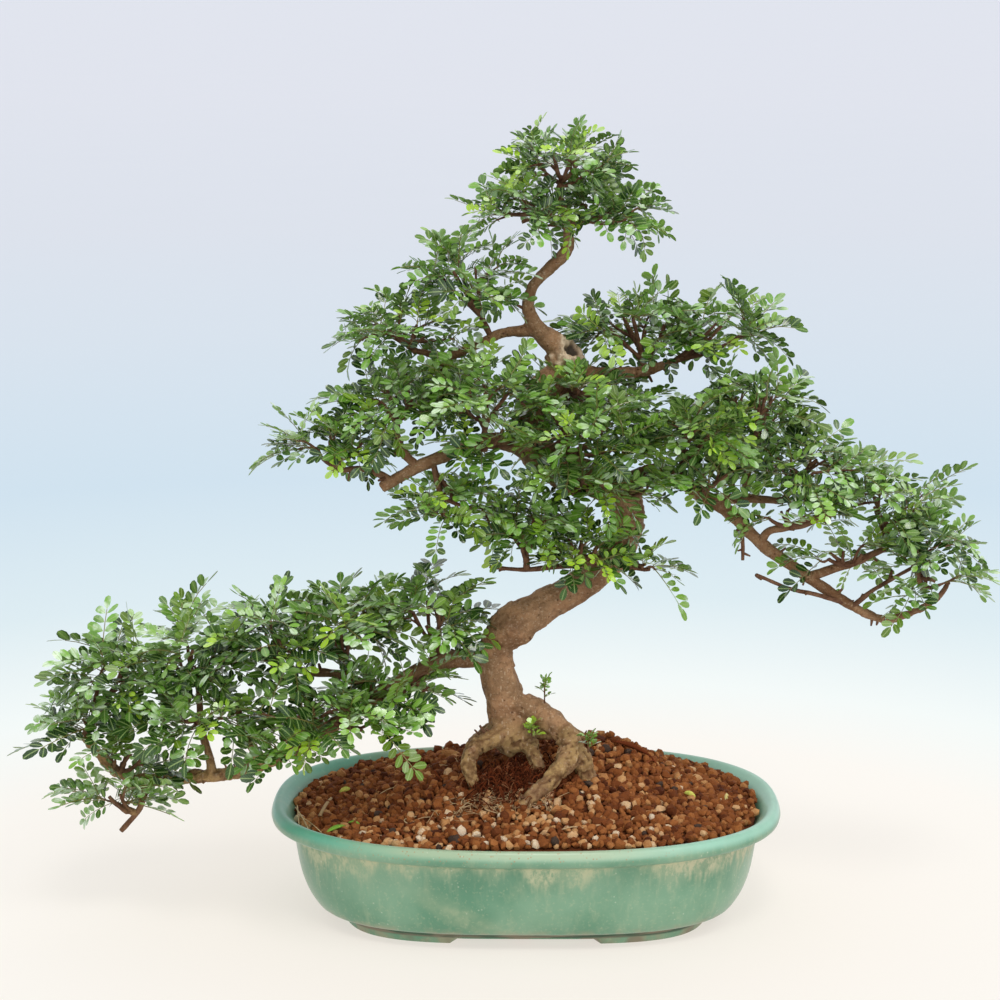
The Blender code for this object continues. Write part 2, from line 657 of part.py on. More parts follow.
def place_leaves(name, centre, radii, count, draw, taken):
    """Chooses the leaves of a spray one by one, each clear of the wood, the pot and every other leaf."""
    outward = centre - TREE_AXIS
    turn = math.atan2(outward.y, outward.x)
    leaves = []
    own = []
    for number in range(count):
        for attempt in range(LEAF_TRIES):
            loose = attempt / LEAF_TRIES
            spin = turn + number * GOLDEN_TURN + draw.uniform(-math.pi, math.pi) * loose
            stray = draw.uniform(-LEAF_RISE_SPREAD_DEG, LEAF_RISE_SPREAD_DEG) * loose
            rise = math.radians(LEAF_RISE_DEG[number % len(LEAF_RISE_DEG)] + stray)
            out = Vector((math.cos(spin) * math.cos(rise), math.sin(spin) * math.cos(rise), math.sin(rise)))
            base = centre + out * core_reach(radii, out) * LEAF_ROOT
            heading = (out + Vector((0, 0, LEAF_LIFT))).normalized()
            pairs = LEAF_PAIRS[number % len(LEAF_PAIRS)]
            length = draw.uniform(*LEAF_LENGTH) * (1 - LEAF_SHRINK * loose)
            frame = leaf_frame(base, heading, draw.uniform(-LEAF_ROLL, LEAF_ROLL))
            whole = plain_blade(frame, length, 0.0)
            outer = plain_blade(frame, length, LEAFLETS_START)
            if any(whole.overlap(other) for owner, other in taken if owner != name):
                continue
            if any(outer.overlap(other) for other in own):
                continue
            taken.append((name, whole))
            own.append(outer)
            leaves.append(compound_leaf(frame, length, pairs))
            break
    return leaves


def build_sprays(wood, cutter, others):
    """Every spray: its inner leaves and outer leaves joined, with a socket for the twig that carries it."""
    draw = random.Random(SEED)
    cores = {}
    taken = [("wood", tree_of(wood))]
    taken += [(None, tree_of(mesh)) for mesh in others]
    for name, (centre, radii, _) in SPRAYS.items():
        middle = Vector(centre) * MM
        cores[name] = inner_leaves(middle, Vector(radii) * MM, draw)
        room = tree_of(cores[name], middle, CORE_CLEAR)
        draw_in = Matrix.Translation(middle) @ Matrix.Scale(CORE_DRAW_IN, 4) @ Matrix.Translation(-middle)
        while any(room.overlap(other) for owner, other in taken if owner in cores):
            cores[name].transform(draw_in)
            room = tree_of(cores[name], middle, CORE_CLEAR)
        taken.append((name, room))
    made = {}
    for name, (centre, radii, count) in SPRAYS.items():
        leaves = place_leaves(name, Vector(centre) * MM, Vector(radii) * MM, count, draw, taken)
        whole = combine(name, cores[name], leaves, "UNION")
        made[name] = largest_body(combine(name, whole, [cutter.copy()], "DIFFERENCE"))
    return made


def build_sprout(bark, near, lean, length):
    """A small shoot on the bark: one short compound leaf, standing out of the nearest point of the wood."""
    foot, outward, _, _ = bark.find_nearest(Vector(near) * MM)
    heading = (outward + Vector(lean)).normalized()
    frame = leaf_frame(foot + outward * SPROUT_OFF, heading, SPROUT_ROLL)
    return compound_leaf(frame, length, SPROUT_PAIRS, SPROUT_REACH)


def main():
    clear_scene()
    glaze = material("green_glaze")
    plastic = material("drain_plastic")
    earth = material("red_granules")
    bark = material("bark")
    leaf = material("leaf_green")
    middle = add_object("pot_middle", None)
    middle.location.x = POT_MIDDLE_X
    pot = build_pot()
    wood = build_wood()
    cutter = build_wood(GAP)
    soil = build_soil(cutter.copy())
    sprays = build_sprays(wood, cutter, [pot, soil])
    add_object("pot", pot, glaze, middle)
    add_object("drain_mesh_left", build_drain_mesh(-1), plastic, middle)
    add_object("drain_mesh_right", build_drain_mesh(1), plastic, middle)
    add_object("soil", soil, earth, middle)
    add_object("trunk_and_branches", wood, bark, middle)
    for name, mesh in sprays.items():
        add_object("leaves_" + name, mesh, leaf, middle)
    bark_surface = tree_of(wood)
    for name, (near, lean, length) in SPROUTS.items():
        add_object(name, build_sprout(bark_surface, near, lean, length), leaf, middle)


main()
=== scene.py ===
"""The looks of a Chinese pepper bonsai in an oval glazed pot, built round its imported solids.

Metres, +Z up, +X along the pot to the viewer's right, +Y away from the viewer. Tables that follow the
tree's own growth are in millimetres, measured from the middle of the pot, and become metres through MM.
"""

import logging
import math
from dataclasses import dataclass, field
from enum import Enum

import bpy
import numpy as np
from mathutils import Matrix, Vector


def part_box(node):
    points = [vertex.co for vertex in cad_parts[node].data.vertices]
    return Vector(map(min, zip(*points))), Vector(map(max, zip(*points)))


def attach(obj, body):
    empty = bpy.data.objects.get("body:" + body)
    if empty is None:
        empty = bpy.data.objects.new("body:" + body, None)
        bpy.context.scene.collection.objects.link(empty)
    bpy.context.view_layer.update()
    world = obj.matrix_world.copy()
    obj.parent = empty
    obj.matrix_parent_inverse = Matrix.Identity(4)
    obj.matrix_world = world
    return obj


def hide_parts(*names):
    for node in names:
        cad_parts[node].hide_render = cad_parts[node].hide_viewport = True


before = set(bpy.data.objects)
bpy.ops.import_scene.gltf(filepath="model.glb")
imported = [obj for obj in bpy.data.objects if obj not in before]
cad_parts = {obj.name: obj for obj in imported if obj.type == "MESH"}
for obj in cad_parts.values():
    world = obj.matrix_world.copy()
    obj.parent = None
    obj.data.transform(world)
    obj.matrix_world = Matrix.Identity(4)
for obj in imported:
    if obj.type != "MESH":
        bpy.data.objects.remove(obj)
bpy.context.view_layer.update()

log = logging.getLogger("bonsai")
Array = np.ndarray

MM = 0.001
POT_MIDDLE = np.array([0.012, 0.0, 0.0])
UP = np.array([0.0, 0.0, 1.0])
GOLDEN_TURN = 2.39996
SEED = 26

# Wood. Each row is x, y, z and radius, in mm, from the middle of the pot.
TRUNK = (
    (-4, -3, 109, 12), (-9, -5, 119, 14.5), (-13, -5, 132, 12.5), (-15, -5, 148, 12.8), (-20, -5, 168, 11.6),
    (-18, -5, 181, 12), (-9, -5, 193, 13.5), (6, -2, 201, 12), (24, 4, 210, 10.6), (44, 8, 223, 10.4),
    (60, 10, 239, 11), (67, 10, 260, 11.5), (61, 8, 279, 12), (42, 0, 290, 12), (20, -8, 299, 12),
    (5, -10, 313, 12), (1, -5, 330, 10.5), (10, 5, 347, 10.5), (27, 10, 361, 11), (22, 7, 375, 8.5),
    (8, 1, 388, 6), (1, 0, 403, 4.4), (5, 0, 418, 3.8), (16, 3, 429, 4.3), (27, 5, 442, 4.1),
    (25, 0, 462, 3.2), (20, 0, 478, 2.2),
)
ROOTS = (
    (
        (-8, -8, 124, 9), (-22, -18, 118, 6.2), (-33, -24, 114, 5.8), (-38, -28, 106, 5.2),
        (-35, -31, 93, 4), (-32, -32, 80, 3.2),
    ),
    (
        (-2, -6, 138, 9.5), (9, -11, 134, 8.6), (19, -17, 128, 8.2), (29, -24, 118, 8), (27, -34, 108, 7.4),
        (16, -47, 99, 5.8), (5, -57, 91, 5), (-3, -64, 82, 4.4),
    ),
    ((28, -22, 114, 7.5), (36, -23, 106, 7.6), (40, -24, 96, 6.6), (41, -23, 80, 5)),
    ((-4, -6, 118, 9), (2, -14, 113, 6.6), (6, -20, 106, 5.4), (10, -26, 88, 4.2)),
    ((-10, 2, 120, 9), (-26, 16, 111, 6.5), (-37, 27, 98, 5.4), (-42, 34, 82, 4)),
    ((2, 4, 120, 9), (22, 20, 113, 6.5), (38, 33, 102, 5.6), (47, 42, 84, 4)),
)
HEAVY_BRANCHES = (
    (
        (-14, -4, 168, 8), (-34, -3, 170, 7.2), (-57, -14, 169, 6), (-82, -28, 160, 5.6),
        (-103, -38, 149, 5.2), (-128, -45, 133, 5), (-155, -45, 116, 4.8), (-187, -40, 102, 4.6),
        (-218, -36, 97, 4.4), (-246, -31, 93, 4.2), (-268, -29, 97, 4), (-282, -28, 110, 3.6),
        (-291, -27, 122, 3.2),
    ),
    (
        (4, -9, 311, 8), (-16, -19, 318, 6), (-36, -25, 317, 5), (-56, -29, 309, 4.4), (-74, -30, 301, 4.1),
        (-94, -30, 289, 3.9),
    ),
    ((6, 0, 388, 4.4), (-16, 0, 386, 3.4), (-35, 0, 377, 3.1), (-52, 1, 371, 2.8), (-72, 2, 374, 2.2)),
    (
        (60, 8, 280, 8.5), (80, 6, 292, 6.6), (98, 1, 291, 5.6), (115, -4, 280, 5), (132, -8, 270, 4.7),
        (155, -10, 248, 4.3), (176, -10, 233, 4), (205, -10, 213, 3.6), (222, -10, 203, 3.2),
        (239, -10, 198, 2.9), (259, -10, 205, 2.6), (272, -10, 214, 2.3), (278, -10, 224, 2),
    ),
    ((24, 10, 362, 6.5), (48, 18, 357, 5), (72, 24, 357, 4), (92, 26, 362, 3)),
)
LIGHT_BRANCHES = (
    ((-245, -31, 95, 3.8), (-251, -31, 86, 3), (-256, -31, 72, 2), (-268, -31, 58, 1.5)),
    ((-206, -38, 98, 3.4), (-208, -38, 112, 2.8), (-213, -34, 130, 2.3), (-214, -32, 150, 1.9)),
    ((-172, -42, 108, 3.4), (-178, -44, 118, 3.2), (-186, -42, 132, 2.4), (-188, -38, 152, 1.9)),
    ((-96, -34, 152, 3.6), (-118, -24, 162, 3.2), (-142, -20, 164, 2.6), (-165, -24, 168, 2.1)),
    ((-70, -30, 303, 3), (-80, -28, 313, 2.7), (-84, -24, 324, 2.2)),
    ((-86, -30, 294, 2.6), (-104, -29, 301, 2.1), (-126, -27, 300, 1.6)),
    ((186, -10, 227, 3.2), (200, -9, 231, 2.9), (216, -8, 236, 2.6), (236, -7, 245, 2)),
    ((118, -3, 278, 3.6), (148, 8, 275, 3), (170, 14, 273, 2.4)),
    ((153, -10, 249, 3), (160, -16, 259, 2.7), (178, -21, 263, 2.3), (200, -24, 272, 1.9)),
    ((214, -10, 208, 1.9), (190, -16, 216, 1.5), (172, -20, 221, 1.3), (150, -25, 231, 1.1)),
    ((215, -11, 207, 1.9), (228, -15, 219, 1.5), (244, -19, 230, 1.3), (258, -22, 239, 1.1)),
    ((140, -10, 261, 1.9), (142, -11, 250, 1.4), (142, -12, 238, 1.2)),
    ((64, 4, 246, 3), (46, -14, 238, 2.4), (22, -22, 236, 2), (-2, -24, 234, 1.5), (-24, -24, 236, 1.2)),
)
WOUND_STUB = ((19, 8, 364, 9), (26, 5, 373, 8))
BURL = ((-12, -6, 186, 9), (-3, -7, 187.5, 8), (4, -7, 190, 4.5))

# Leaf sprays: the middle and the half sizes of the leafy part, in mm, and how many compound leaves it bears.
SPRAYS = {
    "apex_top": ((25, 0, 494), (32, 30, 15), 84),
    "apex_left": ((-3, -6, 462), (24, 26, 13), 60),
    "apex_right": ((53, 2, 464), (25, 26, 14), 60),
    "crown_left_high": ((-40, -2, 422), (24, 25, 15), 60),
    "crown_left_mid": ((-84, 0, 386), (28, 27, 13), 66),
    "crown_left_low": ((-84, -14, 343), (28, 28, 15), 72),
    "crown_left_end": ((-122, -24, 316), (26, 25, 14), 62),
    "crown_front_left": ((-26, -38, 348), (27, 24, 20), 72),
    "crown_front": ((38, -46, 320), (34, 26, 22), 90),
    "crown_back": ((40, 52, 330), (38, 28, 20), 84),
    "crown_back_left": ((-58, 46, 338), (26, 22, 14), 60),
    "crown_low_left": ((-46, -36, 274), (26, 24, 15), 66),
    "crown_low": ((0, -34, 262), (22, 20, 17), 62),
    "crown_low_right": ((38, -34, 248), (15, 16, 14), 42),
    "right_high": ((72, 26, 386), (30, 26, 14), 72),
    "right_high_end": ((131, 22, 382), (28, 26, 15), 66),
    "right_inner": ((106, -32, 324), (25, 22, 16), 66),
    "right_shoulder": ((150, 6, 338), (28, 30, 16), 72),
    "right_back": ((126, 54, 312), (30, 24, 15), 66),
    "right_centre": ((182, -6, 298), (32, 30, 15), 78),
    "right_outer": ((236, -4, 272), (30, 28, 14), 66),
    "right_end": ((262, -8, 246), (14, 18, 12), 30),
    "low_inner": ((-64, -14, 200), (20, 24, 16), 60),
    "low_centre": ((-114, -26, 197), (22, 26, 14), 64),
    "low_middle": ((-163, -34, 187), (25, 27, 14), 68),
    "low_outer": ((-216, -32, 177), (26, 27, 14), 68),
    "low_outer_high": ((-268, -24, 163), (27, 25, 14), 62),
    "low_end": ((-286, -28, 130), (14, 20, 10), 36),
    "low_front": ((-212, -58, 140), (26, 16, 11), 54),
    "low_front_inner": ((-136, -66, 144), (30, 17, 10), 54),
    "low_hanging": ((-270, -36, 80), (9, 8, 9), 28),
}
# Loose tufts that stand in front of the low limb and between the right-hand branches, in the same form.
TUFTS = {
    "tuft_low_front": ((-150, -60, 124), (22, 9, 11), 24),
    "tuft_low_front_inner": ((-112, -58, 138), (24, 9, 12), 34),
    "tuft_low_neck": ((-84, -46, 154), (18, 10, 12), 24),
    "tuft_low_shoulder": ((-70, -38, 160), (10, 8, 9), 10),
    "tuft_low_tip": ((-262, -44, 112), (22, 8, 9), 18),
    "tuft_right_gap": ((206, -14, 240), (22, 9, 11), 18),
    "tuft_crown_bend": ((64, -30, 288), (24, 10, 12), 28),
    "tuft_right_low": ((172, -24, 268), (24, 10, 10), 26),
    "tuft_right_tip": ((262, -20, 224), (16, 10, 14), 18),
    "tuft_right_near": ((118, -28, 294), (22, 10, 10), 24),
    "tuft_crown_mid": ((38, -46, 292), (20, 10, 12), 24),
    "tuft_crown_fold": ((76, -18, 234), (9, 9, 7), 12),
    "tuft_crown_bulge": ((36, -18, 348), (22, 9, 8), 26),
    "tuft_crown_limb": ((-24, -40, 318), (22, 9, 11), 26),
}


class Slot(Enum):
    """Names of the material slots, one for each kind of new piece."""

    GLAZE = "green_glaze"
    GRANULES = "red_granules"
    BARK = "bark"
    LEAF = "leaf_green"


def unit(vectors: Array) -> Array:
    """Vectors brought to length 1 along the last axis."""
    return vectors / np.maximum(np.linalg.norm(vectors, axis=-1, keepdims=True), 1e-9)


def square_to(vectors: Array, others: Array) -> Array:
    """The part of each vector that is square to another of length 1, brought to length 1."""
    return unit(vectors - others * (vectors * others).sum(axis=-1, keepdims=True))


def turns_round(count: int) -> Array:
    """Angles spaced evenly round a circle."""
    return 2 * np.pi * np.arange(count) / count


def compass(turns: Array) -> Array:
    """The directions in plan at angles: the cosine is x and the sine is y."""
    return np.stack([np.cos(turns), np.sin(turns)], axis=-1)


def raised(plan: Array, heights: Array) -> Array:
    """Places in plan from the middle of the pot, at their heights, as places in the scene."""
    return np.concatenate([plan, heights[..., None]], axis=-1) + POT_MIDDLE


def smooth_curve(rows: Array, step: float) -> Array:
    """A Catmull-Rom curve through rows, sampled about every step.

    Each span between two rows is the cubic that leaves them with half the difference of their neighbours.

    Args:
        rows: the rows that the curve passes through, place first.
        step: the spacing of the samples, in the rows' own units.

    Returns:
        The samples, with as many columns as the rows.
    """
    ends = np.vstack([2 * rows[0] - rows[1], rows, 2 * rows[-1] - rows[-2]])
    lengths = np.linalg.norm(np.diff(rows[:, :3], axis=0), axis=1)
    counts = np.maximum(1, np.ceil(lengths / step).astype(int))
    span = np.repeat(np.arange(len(counts)), counts)
    t = np.concatenate([np.arange(count) / count for count in counts])[:, None]
    before, here, there, after = (ends[span + i] for i in range(4))
    curve = 2 * here + (there - before) * t + (2 * before - 5 * here + 4 * there - after) * t**2
    curve += (3 * here - before - 3 * there + after) * t**3
    return np.vstack([0.5 * curve, rows[-1]])


def limb_path(rows: tuple, step: float) -> Array:
    """The smooth path of a limb in metres.

    Args:
        rows: x, y, z and radius in mm from the middle of the pot.
        step: the spacing of the samples in mm.

    Returns:
        Rows of x, y, z and radius in metres.
    """
    path = smooth_curve(np.array(rows, float), step) * MM
    path[:, :3] += POT_MIDDLE
    return path


def cell_noise(points: Array, size: float, seed: float = 0.0) -> Array:
    """Smooth noise from -1 to 1: values drawn at the corners of a cubic lattice, blended across each cell.

    The blend is the smoothstep of the place within the cell, and a corner's value is the fraction of a
    large multiple of the sine of its number.

    Args:
        points: places, in metres.
        size: the lattice spacing, in metres.
        seed: shifts the lattice, so that two uses differ.

    Returns:
        One value for each place.
    """
    place = points / size + seed * 17.31
    low = np.floor(place)
    share = place - low
    share = share * share * (3 - 2 * share)
    total = np.zeros(points.shape[:-1])
    for corner in np.ndindex(2, 2, 2):
        weight = np.prod(np.where(corner, share, 1 - share), axis=-1)
        number = (low + corner) @ np.array([127.1, 311.7, 74.7])
        total += weight * np.modf(np.sin(number) * 43758.5453)[0]
    return total


@dataclass
class Surface:
    """Points and faces that become one mesh, with marks that the finishes read."""

    points: Array
    quads: Array = field(default_factory=lambda: np.zeros((0, 4), int))
    tris: Array = field(default_factory=lambda: np.zeros((0, 3), int))
    marks: dict[str, Array] = field(default_factory=dict)

    @staticmethod
    def join(parts: list["Surface"]) -> "Surface":
        """Several surfaces as one, whose parts carry the same marks."""
        starts = np.cumsum([0] + [len(part.points) for part in parts[:-1]])
        return Surface(
            np.vstack([part.points for part in parts]),
            np.vstack([part.quads + start for part, start in zip(parts, starts)]),
            np.vstack([part.tris + start for part, start in zip(parts, starts)]),
            {name: np.vstack([part.marks[name] for part in parts]) for name in parts[0].marks},
        )

    def marked(self, name: str, *values: "Array | float") -> "Surface":
        """Adds a mark of three numbers a point.

        Args:
            name: the mark's name.
            values: its numbers, each one for all points, for each of equal parts or for each point; a
                number that isn't given is 0.

        Returns:
            The same surface.
        """
        columns = [np.repeat(value, len(self.points) // np.size(value)) for value in (*values, 0, 0)[:3]]
        self.marks[name] = np.column_stack(columns).astype(float)
        return self

    def piece(self, name: str, finish: bpy.types.Material, sharp_deg: float = 180.0) -> bpy.types.Object:
        """Puts the surface into the scene as an object at the origin.

        Args:
            name: the piece's name.
            finish: its material.
            sharp_deg: edges bent more than this are shaded sharp.

        Returns:
            The new object.
        """
        mesh = bpy.data.meshes.new(name)
        corners = np.concatenate([self.quads.ravel(), self.tris.ravel()]).astype(np.int32)
        starts = np.concatenate([
            np.arange(len(self.quads)) * 4,
            len(self.quads) * 4 + np.arange(len(self.tris)) * 3,
        ]).astype(np.int32)
        mesh.vertices.add(len(self.points))
        mesh.vertices.foreach_set("co", self.points.astype(np.float32).ravel())
        mesh.loops.add(len(corners))
        mesh.loops.foreach_set("vertex_index", corners)
        mesh.polygons.add(len(starts))
        mesh.polygons.foreach_set("loop_start", starts)
        mesh.update(calc_edges=True)
        for mark, values in self.marks.items():
            layer = mesh.attributes.new(mark, "FLOAT_VECTOR", "POINT")
            layer.data.foreach_set("vector", values.astype(np.float32).ravel())
        mesh.shade_smooth()
        if sharp_deg < 180.0:
            mesh.set_sharp_from_angle(angle=math.radians(sharp_deg))
        mesh.materials.append(finish)
        return added(name, mesh)


def added(name: str, data: bpy.types.ID) -> bpy.types.Object:
    """A new object in the scene.

    Args:
        name: its name.
        data: what it shows.

    Returns:
        The object.
    """
    thing = bpy.data.objects.new(name, data)
    bpy.context.scene.collection.objects.link(thing)
    return thing


def skin(rings: Array) -> Surface:
    """A closed skin over stacks of rings, with a pole in the middle of the first and last ring of each.

    Each face joins two neighbours of a ring to the same two of the next, so it looks outwards where the
    rings turn against the clock as seen from where the stack leads.

    Args:
        rings: places as stack, ring, point of the ring, and x, y, z.

    Returns:
        The surface of all the stacks.
    """
    stacks, levels, sides, _ = rings.shape
    size = levels * sides + 2
    poles = rings[:, [0, -1]].mean(axis=2)
    points = np.concatenate([rings.reshape(stacks, -1, 3), poles], axis=1)
    here = np.arange(sides)
    after = (here + 1) % sides
    level = np.arange(levels - 1)[:, None] * sides
    quads = np.stack([level + here, level + after, level + sides + after, level + sides + here], axis=-1)
    first = np.stack([np.full(sides, size - 2), after, here], axis=-1)
    last = np.stack([np.full(sides, size - 1), here, after], axis=-1)
    last[:, 1:] += (levels - 1) * sides
    shift = (np.arange(stacks) * size)[:, None, None]
    return Surface(
        points.reshape(-1, 3),
        (quads.reshape(1, -1, 4) + shift).reshape(-1, 4),
        (np.vstack([first, last])[None] + shift).reshape(-1, 3),
    )


def tubes(paths: Array, radii: Array, sides: int, flat: float = 1.0) -> Surface:
    """Round limbs carried along many paths of equal count.

    A point of a ring is the path's own point, plus the radius times the cosine of its turn in one direction
    across the path, and the sine in the other.

    Args:
        paths: places as limb, station, and x, y, z.
        radii: the radius at each limb and station.
        sides: how many points a ring has.
        flat: the share of the radius in the second direction.

    Returns:
        The limbs' surface.
    """
    heading = unit(np.gradient(paths, axis=1))
    least = np.abs(heading).max(axis=1).argmin(axis=1)
    across = unit(np.cross(heading, np.eye(3)[least][:, None]))
    other = np.cross(heading, across) * flat
    turns = turns_round(sides)
    ring = across[:, :, None] * np.cos(turns)[:, None] + other[:, :, None] * np.sin(turns)[:, None]
    return skin(paths[:, :, None] + radii[:, :, None, None] * ring)


def bent_paths(starts: Array, middles: Array, ends: Array, stations: int) -> Array:
    """Quadratic curves that leave each start towards its middle and arrive at its end, at even samples."""
    t = np.linspace(0, 1, stations)[None, :, None]
    return (1 - t) ** 2 * starts[:, None] + 2 * t * (1 - t) * middles[:, None] + t**2 * ends[:, None]


class Socket:
    """An output of a shader node whose operators add Math nodes."""

    def __init__(self, graph: "Graph", socket: bpy.types.NodeSocket) -> None:
        """Wraps a node's output."""
        self.graph = graph
        self.socket = socket

    def math(self, operation: str, *others: "Socket | float") -> "Socket":
        """This value and others through one Math node."""
        return self.graph.add("Math", {"operation": operation}, dict(enumerate((self, *others))))

    def __add__(self, other: "Socket | float") -> "Socket":
        """The sum."""
        return self.math("ADD", other)

    def __sub__(self, other: "Socket | float") -> "Socket":
        """The difference."""
        return self.math("SUBTRACT", other)

    def __rsub__(self, other: float) -> "Socket":
        """A number less this value."""
        return self.graph.add("Math", {"operation": "SUBTRACT"}, {0: other, 1: self})

    def __mul__(self, other: "Socket | float") -> "Socket":
        """The product."""
        return self.math("MULTIPLY", other)

    __radd__ = __add__
    __rmul__ = __mul__

    def __abs__(self) -> "Socket":
        """The value without its sign."""
        return self.math("ABSOLUTE")

    def step(self, low: float, high: float) -> "Socket":
        """A smooth step.

        Args:
            low: where it is 0.
            high: where it is 1, which may lie below.

        Returns:
            The step, from 0 to 1.
        """
        ends = {0: self, 1: min(low, high), 2: max(low, high)}
        rise = self.graph.add("MapRange", {"interpolation_type": "SMOOTHSTEP"}, ends)
        return rise if low <= high else 1 - rise

    def parts(self) -> tuple["Socket", "Socket", "Socket"]:
        """The x, y and z of a vector."""
        first = self.graph.add("SeparateXYZ", sockets={0: self})
        return tuple(Socket(self.graph, output) for output in first.socket.node.outputs)


class Graph:
    """The node graph of one material, or of the studio's air."""

    def __init__(self, name: str, world: bpy.types.World | None = None) -> None:
        """Starts a material with a Principled shader, or takes a world's nodes.

        Args:
            name: the new material's name.
            world: the world that is taken instead.
        """
        self.material = world or bpy.data.materials.new(name)
        self.material.use_nodes = True
        self.tree = self.material.node_tree
        self.shader = self.tree.nodes.get("Principled BSDF")
        self.place = self.add("TexCoord", out="Object")

    def feed(self, socket: bpy.types.NodeSocket, value: "Socket | float | tuple") -> None:
        """Links a value to a socket, or sets it there.

        Args:
            socket: a node's input.
            value: another node's output, a number, or a colour or place.
        """
        if isinstance(value, Socket):
            self.tree.links.new(value.socket, socket)
        elif socket.type == "RGBA" and len(value) == 3:
            socket.default_value = (*value, 1.0)
        else:
            socket.default_value = value

    def add(
        self, kind: str, settings: dict | None = None, sockets: dict | None = None, out: str | int = 0
    ) -> Socket:
        """Adds any node.

        Args:
            kind: the node's type, without its prefix.
            settings: properties of the node, set first; "stops" are a ramp's places and colours.
            sockets: values or links of its inputs, by name or number.
            out: the output that is handed back.

        Returns:
            That output.
        """
        node = self.tree.nodes.new("ShaderNode" + kind)
        for name, value in (settings or {}).items():
            if name == "stops":
                ramp = node.color_ramp.elements
                while len(ramp) < len(value):
                    ramp.new(1.0)
                for element, (place, colour) in zip(ramp, value):
                    element.position = place
                    element.color = (*colour, 1.0)
            else:
                setattr(node, name, value)
        for name, value in (sockets or {}).items():
            self.feed(node.inputs[name], value)
        return Socket(self, node.outputs[out])

    def mark(self, name: str) -> Socket:
        """A mark that the mesh carries, as a vector."""
        return self.add("Attribute", {"attribute_name": name}, out="Vector")

    def spaced(self, scale: "float | tuple") -> dict:
        """The place and scale of a pattern, in cells a metre, along all axes or along each.

        Args:
            scale: one number, or one for each axis.

        Returns:
            The values of the pattern's two sockets.
        """
        if not isinstance(scale, tuple):
            return {"Vector": self.place, "Scale": scale}
        place = self.add("Mapping", sockets={"Vector": self.place, "Scale": scale})
        return {"Vector": place, "Scale": 1.0}

    def noise(self, scale: "float | tuple", detail: float = 2.0, rough: float = 0.5) -> Socket:
        """Noise from 0 to 1 over the object."""
        return self.add("TexNoise", sockets=self.spaced(scale) | {"Detail": detail, "Roughness": rough})

    def spots(self, scale: "float | tuple") -> Socket:
        """The distance to the nearest of scattered points, in cells."""
        return self.add("TexVoronoi", sockets=self.spaced(scale))

    def mix(self, share: "Socket | float", first: "Socket | tuple", second: "Socket | tuple") -> Socket:
        """Two colours mixed by a share."""
        return self.add("Mix", {"data_type": "RGBA"}, {0: share, 6: first, 7: second}, out=2)

    def over(self, colour: "Socket | tuple", *layers: tuple) -> Socket:
        """A colour under layers.

        Args:
            colour: the lowest colour.
            layers: the share that each layer covers, and its colour, from the lowest up.

        Returns:
            The colour that shows.
        """
        for share, tint in layers:
            colour = self.mix(share, colour, tint)
        return colour

    def ramp(self, value: Socket, stops: tuple) -> Socket:
        """A value turned into a colour."""
        return self.add("ValToRGB", {"stops": stops}, {0: value})

    def bump(self, height: Socket, distance: float, strength: float) -> Socket:
        """A normal raised by a height, with the distance of a height of 1 in metres."""
        return self.add("Bump", sockets={"Strength": strength, "Distance": distance, "Height": height})

    def finish(self, **sockets: "Socket | float | tuple") -> bpy.types.Material:
        """Feeds the shader's sockets.

        Args:
            sockets: a value for each, by its name with _ for a space.

        Returns:
            The material.
        """
        for name, value in sockets.items():
            self.feed(self.shader.inputs[name.replace("_", " ")], value)
        return self.material


